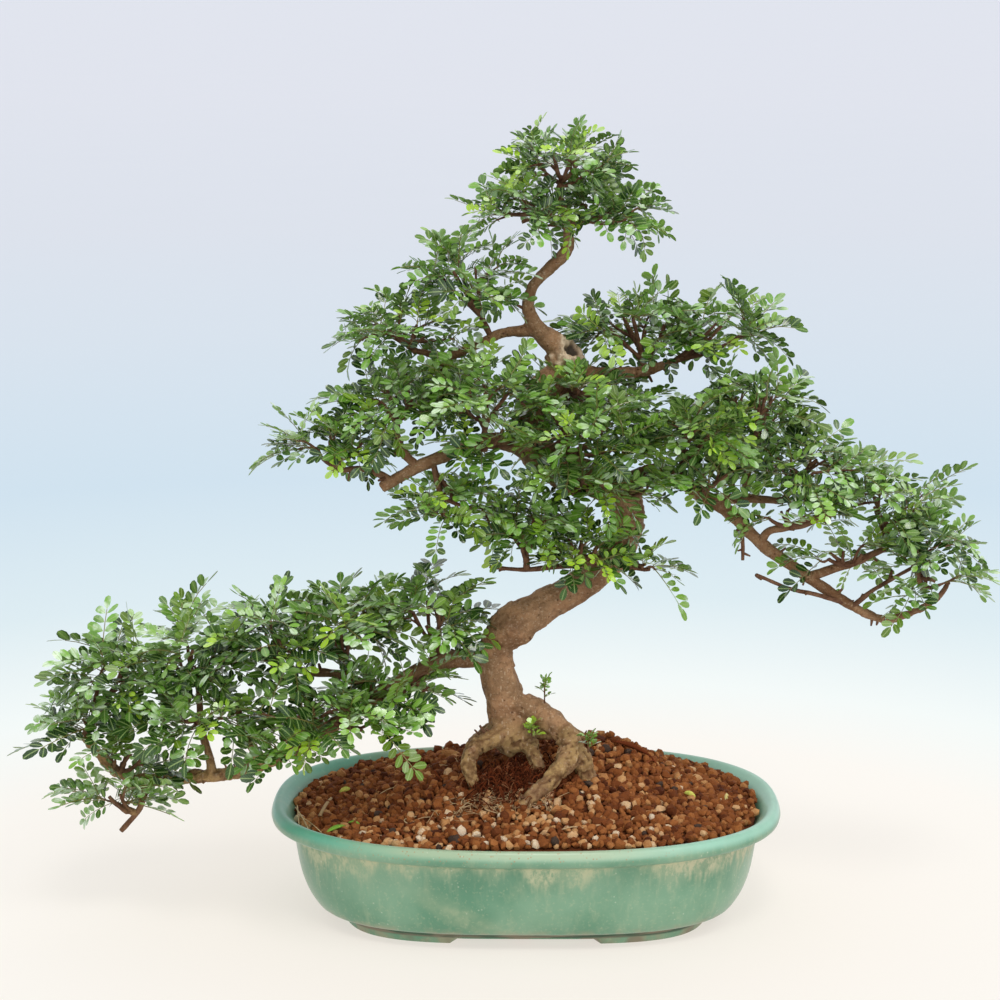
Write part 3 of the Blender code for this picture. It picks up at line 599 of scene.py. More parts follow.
@dataclass(frozen=True)
class Glaze:
    """A green glaze with pale, streaked runs under the lip, specks, a worn lip and a brown, bare groove. The
    lip has painted shade on the left, painted light on the right, and a partly painted highlight along its
    middle.
    """

    deep: tuple = (0.104, 0.252, 0.156)
    sage: tuple = (0.200, 0.352, 0.232)
    silt: tuple = (0.310, 0.290, 0.190)
    run: tuple = (0.47, 0.49, 0.31)
    brown_run: tuple = (0.54, 0.49, 0.33)
    # The lip's two colours: the paler one is painted light on the right, the deeper one painted shade on the
    # left.
    lip: tuple = (0.350, 0.610, 0.475)
    lip_in_painted_shade: tuple = (0.100, 0.385, 0.262)
    fleck: tuple = (0.66, 0.68, 0.52)
    rust: tuple = (0.40, 0.20, 0.09)
    bare: tuple = (0.21, 0.165, 0.115)
    dark: tuple = (0.035, 0.075, 0.045)
    run_top: float = 63 * MM
    lip_low: float = 66.5 * MM
    groove_top: float = 10.4 * MM
    groove_low: float = 3.9 * MM
    # Places where the runs hang lower, as x and half width from the middle of the pot.
    heavy_runs: tuple = ((-0.122, 0.030), (0.118, 0.040), (0.022, 0.024))
    smudge: tuple = (-0.042, 0.026)

    def material(self) -> bpy.types.Material:
        """The glaze, whose height on the pot decides where it runs, wears and darkens, and whose place from
        left to right paints light and shade on the lip.

        Returns:
            The new material.
        """
        g = Graph("sage_glaze")
        x, _, height = g.place.parts()
        x = x - POT_MIDDLE[0]
        clouds = g.noise(16, 4)
        streaks = g.noise((150, 150, 34), 4, 0.6).step(0.5, 0.8) * 0.3 + g.noise(520).step(0.55, 0.75) * 0.25
        up = height - self.smudge[1]
        smudge = abs(x - self.smudge[0] + up * 1.4).step(0.022, 0.002) * abs(up).step(0.024, 0.004)
        heavy = sum(abs(x - middle).step(half, half * 0.6) for middle, half in self.heavy_runs)
        ragged = g.noise((62, 62, 3), 4, 0.62)
        fine = g.noise((260, 260, 40), 3, 0.6)
        length = (heavy * 10.0 + 6.5 + (ragged - 0.5) * 36.0 + (fine - 0.5) * 12.0) * MM
        runs = (length - (self.run_top - height)).step(-6 * MM, 8 * MM)
        runs = runs * height.step(self.run_top, self.run_top - 1.6 * MM)
        patchy = g.noise((190, 190, 110), 4, 0.7).step(0.40, 0.60)
        faint = g.noise((110, 110, 20), 4, 0.65).step(0.52, 0.74) * height.step(12 * MM, 50 * MM)
        low_stain = height.step(17 * MM, 10 * MM) * g.noise((90, 90, 60), 3).step(0.40, 0.62)
        lip = height.step(self.lip_low, self.lip_low + 5 * MM)
        middle_lip = abs(x + 0.01).step(0.13, 0.05)
        worn = lip * g.noise((40, 40, 160), 3).step(0.5, 0.7) * x.step(-0.05, -0.12)
        specks = g.spots(420).step(0.30, 0.16) * g.noise(150).step(0.42, 0.56)
        specks = specks * height.step(65.5 * MM, 67 * MM) * (0.10 + 0.9 * middle_lip)
        flecks = g.spots(210).step(0.17, 0.06) * g.noise(40).step(0.50, 0.62)
        groove = height.step(self.groove_top, self.groove_top - 1.4 * MM)
        below = height.step(self.groove_low + 1.2 * MM, self.groove_low - 0.2 * MM)
        run_tint = g.mix(x.step(0.07, 0.12) * g.noise(60), self.run, self.brown_run)
        groove_tint = g.mix(g.noise((30, 30, 260), 3).step(0.42, 0.6), self.dark, self.bare)
        colour = g.over(
            self.deep,
            (clouds.step(0.34, 0.66), self.sage),
            (streaks, self.run),
            (smudge * (0.12 + 0.32 * g.noise(90, 3).step(0.30, 0.75)), self.run),
            (runs * (0.30 + 0.70 * patchy), run_tint),
            (faint * 0.22, self.run),
            (low_stain * 0.75, self.silt),
            # The lip: painted shade on the left, grading to painted light on the right.
            (lip * (0.6 + 0.4 * g.noise(60)), g.mix(x.step(-0.13, 0.15), self.lip_in_painted_shade, self.lip)),
            (worn * 0.15, self.run),
            # Along the middle of the lip the glaze is paler: partly worn glaze, partly a painted highlight.
            (lip * middle_lip * 0.62, self.run),
            (specks * 0.6, self.rust),
            (flecks * 0.35, self.fleck),
            (groove * (1 - below) * 0.9, groove_tint),
            (below * g.noise(46).step(0.5, 0.62) * 0.7, self.bare),
        )
        return g.finish(
            Base_Color=colour,
            Roughness=0.24 + 0.30 * runs + 0.35 * groove + 0.12 * clouds,
            Normal=g.bump(g.noise(55) * 0.8 + g.noise(420) * 0.12 + runs * 0.1, 0.5 * MM, 0.5),
            Coat_Weight=0.15,
            Coat_Roughness=0.12,
            Specular_IOR_Level=0.35,
        )


@dataclass(frozen=True)
class Bark:
    """Tan bark with pale flecks and brown patches, golden and creviced on the roots, red-brown on twigs, with
    painted shade in the clefts.
    """

    tan: tuple = (0.430, 0.235, 0.118)
    grey: tuple = (0.300, 0.170, 0.085)
    # Dark brown for the bark's dark patches and pits, and painted shade in the clefts.
    dark_bark_and_cleft_shade: tuple = (0.125, 0.050, 0.018)
    root: tuple = (0.455, 0.285, 0.118)
    moss: tuple = (0.170, 0.130, 0.042)
    twig: tuple = (0.200, 0.095, 0.052)
    young_twig: tuple = (0.105, 0.040, 0.022)
    fleck: tuple = (0.62, 0.46, 0.31)
    callus: tuple = (0.82, 0.64, 0.45)
    hollow: tuple = (0.085, 0.062, 0.045)
    root_top: float = 0.136

    def material(self) -> bpy.types.Material:
        """The bark, whose marks give the limb's thickness, the old wound, its rim, and the clefts, which are
        darkened as painted shade.

        Returns:
            The new material.
        """
        g = Graph("pepper_bark")
        height = g.place.parts()[2]
        thickness, wound, rim = g.mark("limb").parts()
        painted_cleft_shade = g.mark("cleft").parts()[0]
        rooty = height.step(self.root_top, self.root_top - 0.020)
        rough = thickness.step(8.5, 6.0)
        dashes = g.spots((330, 330, 120)).step(0.22, 0.12) * height.step(0.19, 0.15)
        pits = g.spots(190).step(0.17, 0.09) * g.noise(50, 1).step(0.42, 0.55)
        twig_tint = g.mix(g.noise(160).step(0.35, 0.65), self.twig, self.young_twig)
        colour = g.over(
            self.grey,
            (g.noise(75, 5, 0.65).step(0.40, 0.60), self.tan),
            (g.noise(26, 4, 0.6).step(0.50, 0.66) * 0.55, self.dark_bark_and_cleft_shade),
            (g.noise(420, 4, 0.8).step(0.52, 0.68) * 0.42, self.fleck),
            (g.noise(300, 4, 0.8).step(0.50, 0.36) * 0.35, self.dark_bark_and_cleft_shade),
            (rooty * g.noise(110, 3).step(0.28, 0.56), self.root),
            (rooty * g.noise(48).step(0.52, 0.68) * 0.45, self.moss),
            (dashes * 0.55, self.fleck),
            (g.spots((240, 240, 420)).step(0.24, 0.15) * 0.35, self.fleck),
            (pits * 0.75, self.dark_bark_and_cleft_shade),
            (rough * g.noise(150, 4, 0.7).step(0.42, 0.62) * 0.6, self.dark_bark_and_cleft_shade),
            (thickness.step(3.4, 1.8) * 0.85, twig_tint),
            # Painted shade: the clefts, sunk into the wood, are darkened.
            (painted_cleft_shade * 0.8, self.dark_bark_and_cleft_shade),
            (rim * (0.45 + 0.55 * g.noise(330, 3).step(0.36, 0.54)), self.callus),
            (wound, self.hollow),
        )
        wrinkles = g.noise((260, 260, 120), 4, 0.7) * (1 + rooty)
        grain = g.noise(330, 4, 0.75) * (0.8 + 0.6 * rough) + wrinkles + g.noise(90) * 0.7 - pits * 0.6
        return g.finish(
            Base_Color=colour,
            Roughness=0.60 + 0.25 * g.noise(140),
            Normal=g.bump(grain, 1.3 * MM, 0.9),
            Specular_IOR_Level=0.25,
        )


@dataclass(frozen=True)
class Leaf:
    """Glossy leaflets, deep to mid green by tone and yellow-green when young, with a pale midrib and back.
    The tone paints light and shade: a painted sheen on high, outer and upturned leaflets, and painted shade
    deep in a spray.
    """

    # The deep green shows where a leaflet's tone is low: partly its own colour, and partly painted shade deep
    # inside and low in a spray.
    old: tuple = (0.009, 0.044, 0.002)
    mid: tuple = (0.165, 0.400, 0.018)
    young: tuple = (0.440, 0.680, 0.030)
    # A pale, shining colour laid on as painted sheen.
    painted_sheen: tuple = (0.700, 0.830, 0.620)
    back: tuple = (0.210, 0.360, 0.080)
    rib: tuple = (0.36, 0.48, 0.16)
    stalk: tuple = (0.330, 0.370, 0.070)
    old_stalk: tuple = (0.190, 0.160, 0.045)

    def material(self) -> bpy.types.Material:
        """The leaf, whose marks give the place across and along a leaflet, its age, side and tone; the tone
        is partly its own and partly painted light and shade.

        Returns:
            The new material.
        """
        g = Graph("pepper_leaf")
        across, along, age = g.mark("leaf").parts()
        side, tone, stalk = g.mark("face").parts()
        # Painted sheen: leaflets of high tone, and those far out from the trunk along x, are mixed towards
        # the pale colour, in patches and less on young ones.
        outer = abs(g.place.parts()[0] - POT_MIDDLE[0]).step(0.10, 0.24)
        painted_sheen = (tone + 0.10 * outer).step(0.42, 0.86) * (1 - 0.8 * age)
        midrib = abs(across).step(0.20, 0.03)
        veins = (along * 34 - abs(across) * 9).math("SINE").step(0.55, 1.0)
        colour = g.over(
            self.old,
            ((tone * 1.05 + g.noise(36, 1) * 0.5 - 0.25).step(0.15, 0.85), self.mid),
            (age, self.young),
            (painted_sheen * (0.06 + 0.90 * g.noise(130).step(0.42, 0.64)), self.painted_sheen),
            ((0.4 - side).step(0.05, 0.7) * 0.75, self.back),
            (midrib * 0.6 + veins * 0.14, self.rib),
            (stalk, g.mix(age, self.old_stalk, self.stalk)),
        )
        return g.finish(
            Base_Color=colour,
            Roughness=0.30 + 0.14 * tone,
            Normal=g.bump(midrib * -0.6 + veins * 0.25 + g.noise(900, 1) * 0.4, 0.3 * MM, 0.6),
            Coat_Weight=side.step(0.0, 0.3) * 0.9,
            Coat_Roughness=0.18,
            Specular_IOR_Level=0.2,
        )


@dataclass(frozen=True)
class Granules:
    """Baked clay granules, from deep orange-brown to pale peach and a few dark ones."""

    stops: tuple = (
        (0.00, (0.075, 0.016, 0.004)), (0.30, (0.190, 0.052, 0.012)), (0.62, (0.345, 0.120, 0.032)),
        (0.80, (0.560, 0.290, 0.115)), (0.93, (0.640, 0.400, 0.210)), (1.00, (0.740, 0.600, 0.440)),
    )
    dark: tuple = (0.060, 0.036, 0.026)
    dust: tuple = (0.52, 0.27, 0.12)

    def material(self, name: str) -> bpy.types.Material:
        """The granules, whose mark gives each its own tone; below 0 it is a dark one.

        Args:
            name: the material's name.

        Returns:
            The new material.
        """
        g = Graph(name)
        tone = g.mark("grain").parts()[0]
        speckle = g.noise(700, 3, 0.7)
        colour = g.over(
            g.ramp(tone + (speckle - 0.5) * 0.25, self.stops),
            (tone.step(0.0, -0.1), self.dark),
            (g.noise(1500).step(0.6, 0.75) * 0.25, self.dust),
        )
        return g.finish(
            Base_Color=colour,
            Roughness=0.82 + 0.1 * speckle,
            Normal=g.bump(speckle + g.noise(2200) * 0.4, 0.7 * MM, 0.9),
            Specular_IOR_Level=0.2,
        )


@dataclass(frozen=True)
class Fibre:
    """Hair roots and dry bits, coloured by their own tone."""

    stops: tuple = (
        (0.0, (0.030, 0.006, 0.002)), (0.40, (0.200, 0.046, 0.014)), (0.66, (0.420, 0.260, 0.130)),
        (0.82, (0.620, 0.460, 0.260)), (0.92, (0.640, 0.620, 0.130)), (1.0, (0.200, 0.400, 0.050)),
    )

    def material(self) -> bpy.types.Material:
        """The fibres, whose mark gives each its own tone.

        Returns:
            The new material.
        """
        g = Graph("dry_fibre")
        streak = g.noise(900)
        return g.finish(
            Base_Color=g.ramp(g.mark("grain").parts()[0] + (streak - 0.5) * 0.15, self.stops),
            Roughness=0.8 + 0.1 * streak,
            Normal=g.bump(streak, 0.2 * MM, 0.5),
            Specular_IOR_Level=0.1,
        )


@dataclass(frozen=True)
class Plastic:
    """Black moulded plastic with soil dust on it."""

    black: tuple = (0.022, 0.022, 0.024)
    dust: tuple = (0.16, 0.08, 0.04)

    def material(self) -> bpy.types.Material:
        """The plastic, dusty in patches.

        Returns:
            The new material.
        """
        g = Graph("mesh_plastic")
        dusty = g.noise(220, 3).step(0.5, 0.7)
        return g.finish(
            Base_Color=g.mix(dusty * 0.6, self.black, self.dust),
            Roughness=0.45 + 0.4 * dusty,
            Normal=g.bump(g.noise(1600, 1), 0.1 * MM, 0.4),
        )


def place(piece: bpy.types.Object, slot: Slot, *nodes: str) -> bpy.types.Object:
    """Lets a piece ride on the tree's one body and hides the solids that it stands for.

    Args:
        piece: the new object.
        slot: a material slot's name; not used.
        nodes: the solids that it replaces.

    Returns:
        The same object.
    """
    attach(piece, "root")
    if nodes:
        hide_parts(*nodes)
    faces = sum(len(polygon.vertices) - 2 for polygon in piece.data.polygons)
    log.info("%s: %d triangles, stands for %s", piece.name, faces, ", ".join(nodes) or "nothing")
    return piece


@dataclass
class Pot:
    """The oval pot: a bellied wall under a rolled lip, and a groove above a foot ring with four low feet."""

    rim_power: float = 2.45
    foot_power: float = 3.5
    # Insets in mm between which the oval's power goes from the rim's to the foot's.
    power_insets: tuple = (16.0, 50.0)
    inset_across: float = 0.8
    sides: int = 240
    step: float = 2.6
    foot_gap: float = 3.5 * MM
    # Where a foot begins and ends, and how far its ends slope, in degrees from the pot's long axis.
    foot_from: float = 12.0
    foot_to: float = 78.5
    foot_slope: float = 0.6
    drain_radius: float = 11 * MM
    drain_x: float = 0.055
    drill_reach: float = 22 * MM
    unevenness: float = 0.3 * MM
    # Inset from the widest edge and height, in mm: the foot ring, whose corners stay sharp, then the wall.
    foot_rows: tuple = (
        (86, 7), (67.5, 7), (64.5, 5.6), (62, 0.6), (61, 0), (50.2, 0), (49.5, 0.7), (47.2, 6.2),
    )
    wall_rows: tuple = (
        (46.6, 7.2), (45, 8.6), (41, 9.6), (32, 11), (27.5, 15), (23, 22), (19.2, 32), (16.6, 45), (14.7, 57),
        (13.4, 59.6), (9, 61.6), (3.4, 63), (0.6, 65), (0, 67.3), (0.9, 70.4), (2.8, 73.3), (4.5, 74),
        (6.6, 73.7), (8.6, 72.1), (11.6, 69.6), (14.5, 66.5), (17.5, 61), (20, 56), (24, 46), (29, 26),
        (41, 15),
    )

    def half_sizes(self) -> Array:
        """Half the pot's length and width, from its solid."""
        low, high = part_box("pot")
        return np.array([high.x - low.x, high.y - low.y]) / 2

    def outline(self, insets: Array) -> tuple[Array, Array]:
        """The size and the power of the pot's oval.

        Args:
            insets: distances in from the widest edge, in metres.

        Returns:
            Half the length and width at each inset, and the power there.
        """
        half = self.half_sizes() - insets[:, None] * np.array([1.0, self.inset_across])
        low, high = self.power_insets
        share = np.clip((insets / MM - low) / (high - low), 0, 1)
        return half, self.rim_power + (self.foot_power - self.rim_power) * share

    def ring(self, insets: Array, turns: Array) -> Array:
        """The plan of the pot at several insets.

        It is an oval whose cosine and sine are raised to 2 over the oval's power.

        Args:
            insets: distances in from the widest edge, in metres.
            turns: angles round the pot.

        Returns:
            Places as inset, turn, and x, y.
        """
        half, power = self.outline(insets)
        plan = compass(turns)
        return np.sign(plan) * np.abs(plan) ** (2 / power[:, None, None]) * half[:, None]

    def build(self) -> bpy.types.Object:
        """The pot's surface: rings from the middle of its underside, up and over the lip, and down inside.

        Between the four feet the lowest rings rise by the feet's height. Above the groove a slow noise
        moves the skin in and out.

        Returns:
            The pot's piece.
        """
        section = np.vstack([self.foot_rows, smooth_curve(np.array(self.wall_rows, float), self.step)])
        turns = turns_round(self.sides)
        plan = self.ring(section[:, 0] * MM, turns)
        turn = np.degrees(turns) % 180
        turn = np.minimum(turn, 180 - turn)
        inside = np.minimum(turn - self.foot_from, self.foot_to - turn)
        on_foot = np.clip(inside / self.foot_slope + 0.5, 0, 1)
        height = np.broadcast_to(section[:, 1:] * MM, plan.shape[:2])
        height = np.where(section[:, 1:] < 3, np.maximum(height, self.foot_gap * (1 - on_foot)), height)
        rings = raised(plan, height)
        wobble = cell_noise(rings * np.array([1, 1, 2.0]), 0.045, 3.0) * self.unevenness
        rings[..., :2] += unit(plan) * (wobble * (rings[..., 2] > 9 * MM))[..., None]
        piece = skin(rings[None]).piece("pot_glazed", Glaze().material(), sharp_deg=50.0)
        self.drill(piece)
        return place(piece, Slot.GLAZE, "pot")

    def drill(self, piece: bpy.types.Object) -> None:
        """Cuts the two drain holes with a Boolean that is applied at once.

        Args:
            piece: the pot, which gets a new mesh.
        """
        paths = np.zeros((2, 3, 3)) + POT_MIDDLE
        paths[:, :, 0] += np.array([[-self.drain_x], [self.drain_x]])
        paths[:, :, 2] = np.linspace(0, self.drill_reach, 3)
        cutter = tubes(paths, np.full((2, 3), self.drain_radius), 28).piece("drill", piece.data.materials[0])
        cut = piece.modifiers.new("drains", "BOOLEAN")
        cut.operation = "DIFFERENCE"
        cut.object = cutter
        piece.data = applied(piece)
        piece.modifiers.clear()
        bpy.data.objects.remove(cutter)


def applied(thing: bpy.types.Object) -> bpy.types.Mesh:
    """An object's mesh with its modifiers applied."""
    bpy.context.view_layer.update()
    return bpy.data.meshes.new_from_object(thing.evaluated_get(bpy.context.evaluated_depsgraph_get()))


@dataclass
class Soil:
    """The soil: a bed that fills the pot, dark as painted shade in the gaps between granules, granules over
    it, hair roots under the tree and dry litter.
    """

    edge_level: float = 65 * MM
    edge_inset: float = 15.9 * MM
    # Rows of the bed up the pot's inner wall: inset from the widest edge and height, in mm.
    wall_rows: tuple = ((41.35, 15.4), (29.4, 26.2), (24.4, 46), (20.4, 56), (17.0, 62.6))
    # Mounds: x and y of the middle from the pot's, rise, and spread along x and y, in metres.
    mounds: tuple = ((0.012, 0.012, 0.034, 0.068, 0.072), (0.060, 0.040, 0.012, 0.024, 0.022))
    spacing: float = 4.3 * MM
    sink: float = 1.6 * MM
    rings: int = 44
    sides: int = 120
    # The bed's tone: dark, as painted shade that shows in the gaps between granules.
    bed_painted_shade_tone: float = 0.10
    # How far granules are shaken off their grid, as a share of its spacing, and what share has one on top.
    shake: float = 0.22
    doubled: float = 0.08
    grain_radius: float = 2.3 * MM
    grain_spread: float = 0.24
    grain_range: tuple = (1.3 * MM, 3.8 * MM)
    # Chances of a pale granule: anywhere, more of it in a patch before the roots, and more at the front edge.
    pale_chances: tuple = (0.028, 0.28, 0.14)
    pale_patch: tuple = ((-0.006, -0.078), (0.058, 0.024))
    pale_tone: float = 0.76
    dark_chance: float = 0.016
    dark_tone: float = -0.3
    # The half sizes of the patch under the tree's root arch where granules are darker, as painted shade.
    root_shade_reach: tuple = (0.034, 0.026)
    # Hair roots: how many, the share that lies under the tree, and the middle and spread of those in plan,
    # then of the pale ones in front of it.
    fibres: int = 760
    dark_fibres: float = 0.88
    hair_middle: tuple = (-0.008, -0.034)
    hair_spread: tuple = (0.015, 0.012)
    pale_middle: tuple = (-0.022, -0.058)
    pale_spread: tuple = (0.022, 0.008)
    # Litter: x, y, bearing in degrees, length, radius and lift in mm, and tone.
    litter_rows: tuple = (
        (-146, -44, 104, 62, 0.5, 2.6, 0.80), (-150, -36, 96, 48, 0.45, 3.2, 0.78),
        (-141, -52, 116, 40, 0.4, 2.8, 0.82), (-133, -20, 82, 36, 1.3, 3.4, 0.70),
        (-123, -66, 40, 15, 2.4, 3.2, 1.00), (-112, -58, 150, 9, 1.6, 3.0, 1.00),
        (-122, 11, 20, 8, 1.8, 3.4, 0.93), (109, -18, 160, 8, 1.8, 3.4, 0.93),
        (134, -10, 70, 7, 2.6, 3.6, 0.86), (72, 27, 8, 27, 1.6, 3.4, 0.30),
        (86, 24, 120, 14, 1.3, 2.6, 0.34), (84, 18, 60, 12, 0.9, 3.0, 0.40),
        (-92, -6, 35, 16, 0.4, 3.2, 0.74), (30, -92, 12, 14, 0.4, 3.0, 0.78),
        (-60, 22, 140, 18, 0.4, 3.2, 0.70), (104, 12, 75, 15, 0.4, 3.2, 0.74),
        (-20, 60, 15, 20, 0.5, 3.2, 0.72), (60, 66, 100, 16, 0.4, 3.2, 0.74),
    )
    seed: int = SEED
    fibre: bpy.types.Material = field(default_factory=lambda: Fibre().material())

    def level(self, plan: Array) -> Array:
        """The height of the soil: its edge's level and a bell curve for each mound.

        Args:
            plan: places in plan from the middle of the pot.

        Returns:
            The height at each.
        """
        height = np.full(plan.shape[:-1], self.edge_level)
        for x, y, rise, wide, deep in self.mounds:
            height += rise * np.exp(-(((plan - (x, y)) / (wide, deep)) ** 2).sum(axis=-1) / 2)
        return height

    def bed(self, pot: Pot) -> bpy.types.Object:
        """The bed: rings up the pot's inner wall, then inwards over the mounded top.

        Args:
            pot: the pot that holds it.

        Returns:
            The bed's piece.
        """
        turns = turns_round(self.sides)
        wall = np.array(self.wall_rows) * MM
        sides = raised(pot.ring(wall[:, 0], turns), np.repeat(wall[:, 1:], self.sides, axis=1))
        shares = np.linspace(1, 0.01, self.rings)[:, None, None]
        top = pot.ring(np.array([self.edge_inset + 0.5 * MM]), turns) * shares
        height = self.level(top) - self.sink
        height += cell_noise(np.dstack([top, height]), 4 * MM, 1.0) * 0.8 * MM
        surface = skin(np.concatenate([sides, raised(top, height)])[None]).marked("grain", self.bed_painted_shade_tone)
        return place(surface.piece("soil_bed", Granules().material("soil_bed_earth")), Slot.GRANULES, "soil")

    def tones(self, plan: Array, rim: Array, draw: np.random.Generator) -> Array:
        """The tone of each granule: deep or pale by place and by chance, darker under the root arch as
        painted shade, and below 0 for a dark one.

        Args:
            plan: the granules' places from the middle of the pot.
            rim: 0 in the middle of the soil and 1 at its edge.
            draw: the source of chance.

        Returns:
            One tone for each.
        """
        count = len(plan)
        middle, reach = self.pale_patch
        front = np.linalg.norm((plan - middle) / reach, axis=1)
        edge = np.clip((rim - 0.90) / 0.08, 0, 1) * np.clip(0.6 - plan[:, 1] / 0.1, 0, 1)
        anywhere, in_front, at_edge = self.pale_chances
        chance = anywhere + in_front * np.exp(-(front**2) / 2) + at_edge * edge
        tone = np.clip(draw.normal(0.40, 0.18, count) + 0.16 * edge, 0.0, self.pale_tone)
        pale = draw.random(count) < chance
        tone[pale] = draw.uniform(self.pale_tone, 1.0, pale.sum())
        tone[draw.random(count) < self.dark_chance] = self.dark_tone
        # Painted shade: granules under the root arch are darker, unless pale.
        painted_root_shade = np.linalg.norm((plan - self.hair_middle) / self.root_shade_reach, axis=1) < 1
        return np.where(painted_root_shade & ~pale, tone * 0.4, tone)

    def grains(self, pot: Pot, wood: "Wood") -> bpy.types.Object:
        """The granules: blunt lumps on a shaken hexagonal grid, each turned and stretched its own way.

        Args:
            pot: the pot that holds them.
            wood: the wood that they keep clear of.

        Returns:
            The granules' piece.
        """
        draw = np.random.default_rng(self.seed)
        half, power = (value[0] for value in pot.outline(np.array([self.edge_inset])))
        columns = np.arange(-half[0], half[0], self.spacing)
        rows = np.arange(-half[1], half[1], self.spacing * math.sqrt(3) / 2)
        x, y = np.meshgrid(columns, rows)
        x = x + (np.arange(len(rows)) % 2)[:, None] * self.spacing / 2
        plan = np.stack([x, y], axis=-1).reshape(-1, 2)
        plan += draw.normal(0, self.shake, plan.shape) * self.spacing
        again = plan[draw.random(len(plan)) < self.doubled] + draw.normal(0, 0.3, 2) * self.spacing
        second = np.arange(len(plan) + len(again)) >= len(plan)
        plan = np.vstack([plan, again])
        rim = (np.abs(plan / (half - 0.9 * MM)) ** power).sum(axis=1)
        plan, second, rim = plan[rim < 1], second[rim < 1], rim[rim < 1]
        sizes = draw.lognormal(math.log(self.grain_radius), self.grain_spread, len(plan))
        sizes = np.clip(sizes, *self.grain_range)
        middles = raised(plan, self.level(plan) + sizes * 0.3 + second * 2.4 * MM)
        clear = wood.depth(middles) < 1.2 * MM
        tone = self.tones(plan[clear], rim[clear], draw)
        surface = self.lumps(middles[clear], sizes[clear], draw).marked("grain", tone)
        finish = Granules().material("baked_granules")
        return place(surface.piece("soil_granules", finish, sharp_deg=42.0), Slot.GRANULES)

    @staticmethod
    def lumps(middles: Array, sizes: Array, draw: np.random.Generator) -> Surface:
        """Blunt lumps from an eight-sided solid whose faces are each split in four and pushed outwards.

        A ball's place is divided by the largest of its three coordinates, in part, so that it grows blunt.

        Args:
            middles: their places.
            sizes: their mean radii.
            draw: the source of chance.

        Returns:
            Their surface.
        """
        poles = np.vstack([np.eye(3), -np.eye(3)])
        faces = [(0, 1, 2), (1, 3, 2), (3, 4, 2), (4, 0, 2), (1, 0, 5), (3, 1, 5), (4, 3, 5), (0, 4, 5)]
        corners = [tuple(pole) for pole in poles]
        split = []
        for a, b, c in faces:
            halves = []
            for first, second in ((a, b), (b, c), (c, a)):
                point = tuple((poles[first] + poles[second]) / 2)
                if point not in corners:
                    corners.append(point)
                halves.append(corners.index(point))
            ab, bc, ca = halves
            split += [(a, ab, ca), (ab, b, bc), (ca, bc, c), (ab, bc, ca)]
        ball = unit(np.array(corners))
        ball = ball / np.abs(ball).max(axis=1, keepdims=True) ** 0.5
        count = len(middles)
        shape = ball[None] * (1 + draw.uniform(-0.17, 0.17, (count, len(ball), 1)))
        shape *= draw.uniform((0.85, 0.75, 0.6), (1.25, 1.05, 0.95), (count, 3))[:, None]
        points = np.einsum("nvi,nij->nvj", shape, random_turns(count, draw))
        points = points * sizes[:, None, None] + middles[:, None]
        tris = np.array(split)[None] + (np.arange(count) * len(ball))[:, None, None]
        return Surface(points.reshape(-1, 3), tris=tris.reshape(-1, 3))

    def strands(
        self, name: str, flat: Array, lift: Array, radii: Array, tones: Array, sides: int, squash: float = 1.0
    ) -> None:
        """Makes a piece of thin strands that follow the soil.

        Args:
            name: the piece's name.
            flat: the strands' paths in plan from the middle of the pot, as strand, station, and x, y.
            lift: the height of each station over the soil.
            radii: the radius at each strand and station.
            tones: one tone for each strand.
            sides: how many points go round a strand.
            squash: the share of the radius in the second direction.
        """
        surface = tubes(raised(flat, self.level(flat) + lift), radii, sides, squash).marked("grain", tones)
        place(surface.piece(name, self.fibre), Slot.BARK)

    def hair(self) -> None:
        """Hair roots matted under the arch of the roots, and paler, longer ones lying in front of it."""
        draw = np.random.default_rng(self.seed + 1)
        count = self.fibres
        pale = np.arange(count) > count * self.dark_fibres
        plan = draw.normal(0, 1, (count, 2)) * self.hair_spread + self.hair_middle
        plan[pale] = draw.normal(0, 1, (pale.sum(), 2)) * self.pale_spread + self.pale_middle
        heading = compass(draw.uniform(0, 2 * np.pi, count))
        ahead = heading * (draw.uniform(5, 13, count) * MM * np.where(pale, 1.7, 1.0))[:, None]
        swerve = heading[:, ::-1] * (-1, 1) * draw.normal(0, 4 * MM, count)[:, None]
        lift = np.where(pale, draw.uniform(0.5, 3, count), draw.uniform(1.5, 8.5, count)) * MM
        t = np.linspace(0, 1, 6)
        arch = 4 * t * (1 - t)
        flat = plan[:, None] + ahead[:, None] * (t[:, None] - 0.5) + swerve[:, None] * arch[:, None]
        radii = np.repeat(draw.uniform(0.2, 0.42, (count, 1)) * MM, len(t), axis=1)
        tones = np.where(pale, draw.uniform(0.6, 0.8, count), draw.uniform(0.0, 0.48, count))
        self.strands("hair_roots", flat, 1.6 * MM + lift[:, None] * arch, radii, tones, 3)

    def litter(self) -> None:
        """Dry stalks, needles, a bark scrap and leaf bits; thick ones taper at both ends, as leaves do."""
        x, y, bearing, reach, radius, lift, tones = np.array(self.litter_rows, float).T
        ahead = compass(np.radians(bearing)) * reach[:, None] * MM
        t = np.linspace(0, 1, 8)
        flat = np.column_stack([x, y])[:, None] * MM + ahead[:, None] * (t[:, None] - 0.5)
        blade = (radius > 1.5)[:, None] * (1 - np.sin(np.pi * t) ** 0.7)
        lift = lift[:, None] * MM + 1.2 * MM * np.sin(np.pi * t)
        self.strands("dry_litter", flat, lift, radius[:, None] * (1 - 0.85 * blade) * MM, tones, 6, 0.5)

    def build(self, pot: Pot, wood: "Wood") -> None:
        """Makes the four pieces of the soil.

        Args:
            pot: the pot that holds it.
            wood: the wood that stands in it.
        """
        self.bed(pot)
        self.grains(pot, wood)
        self.hair()
        self.litter()


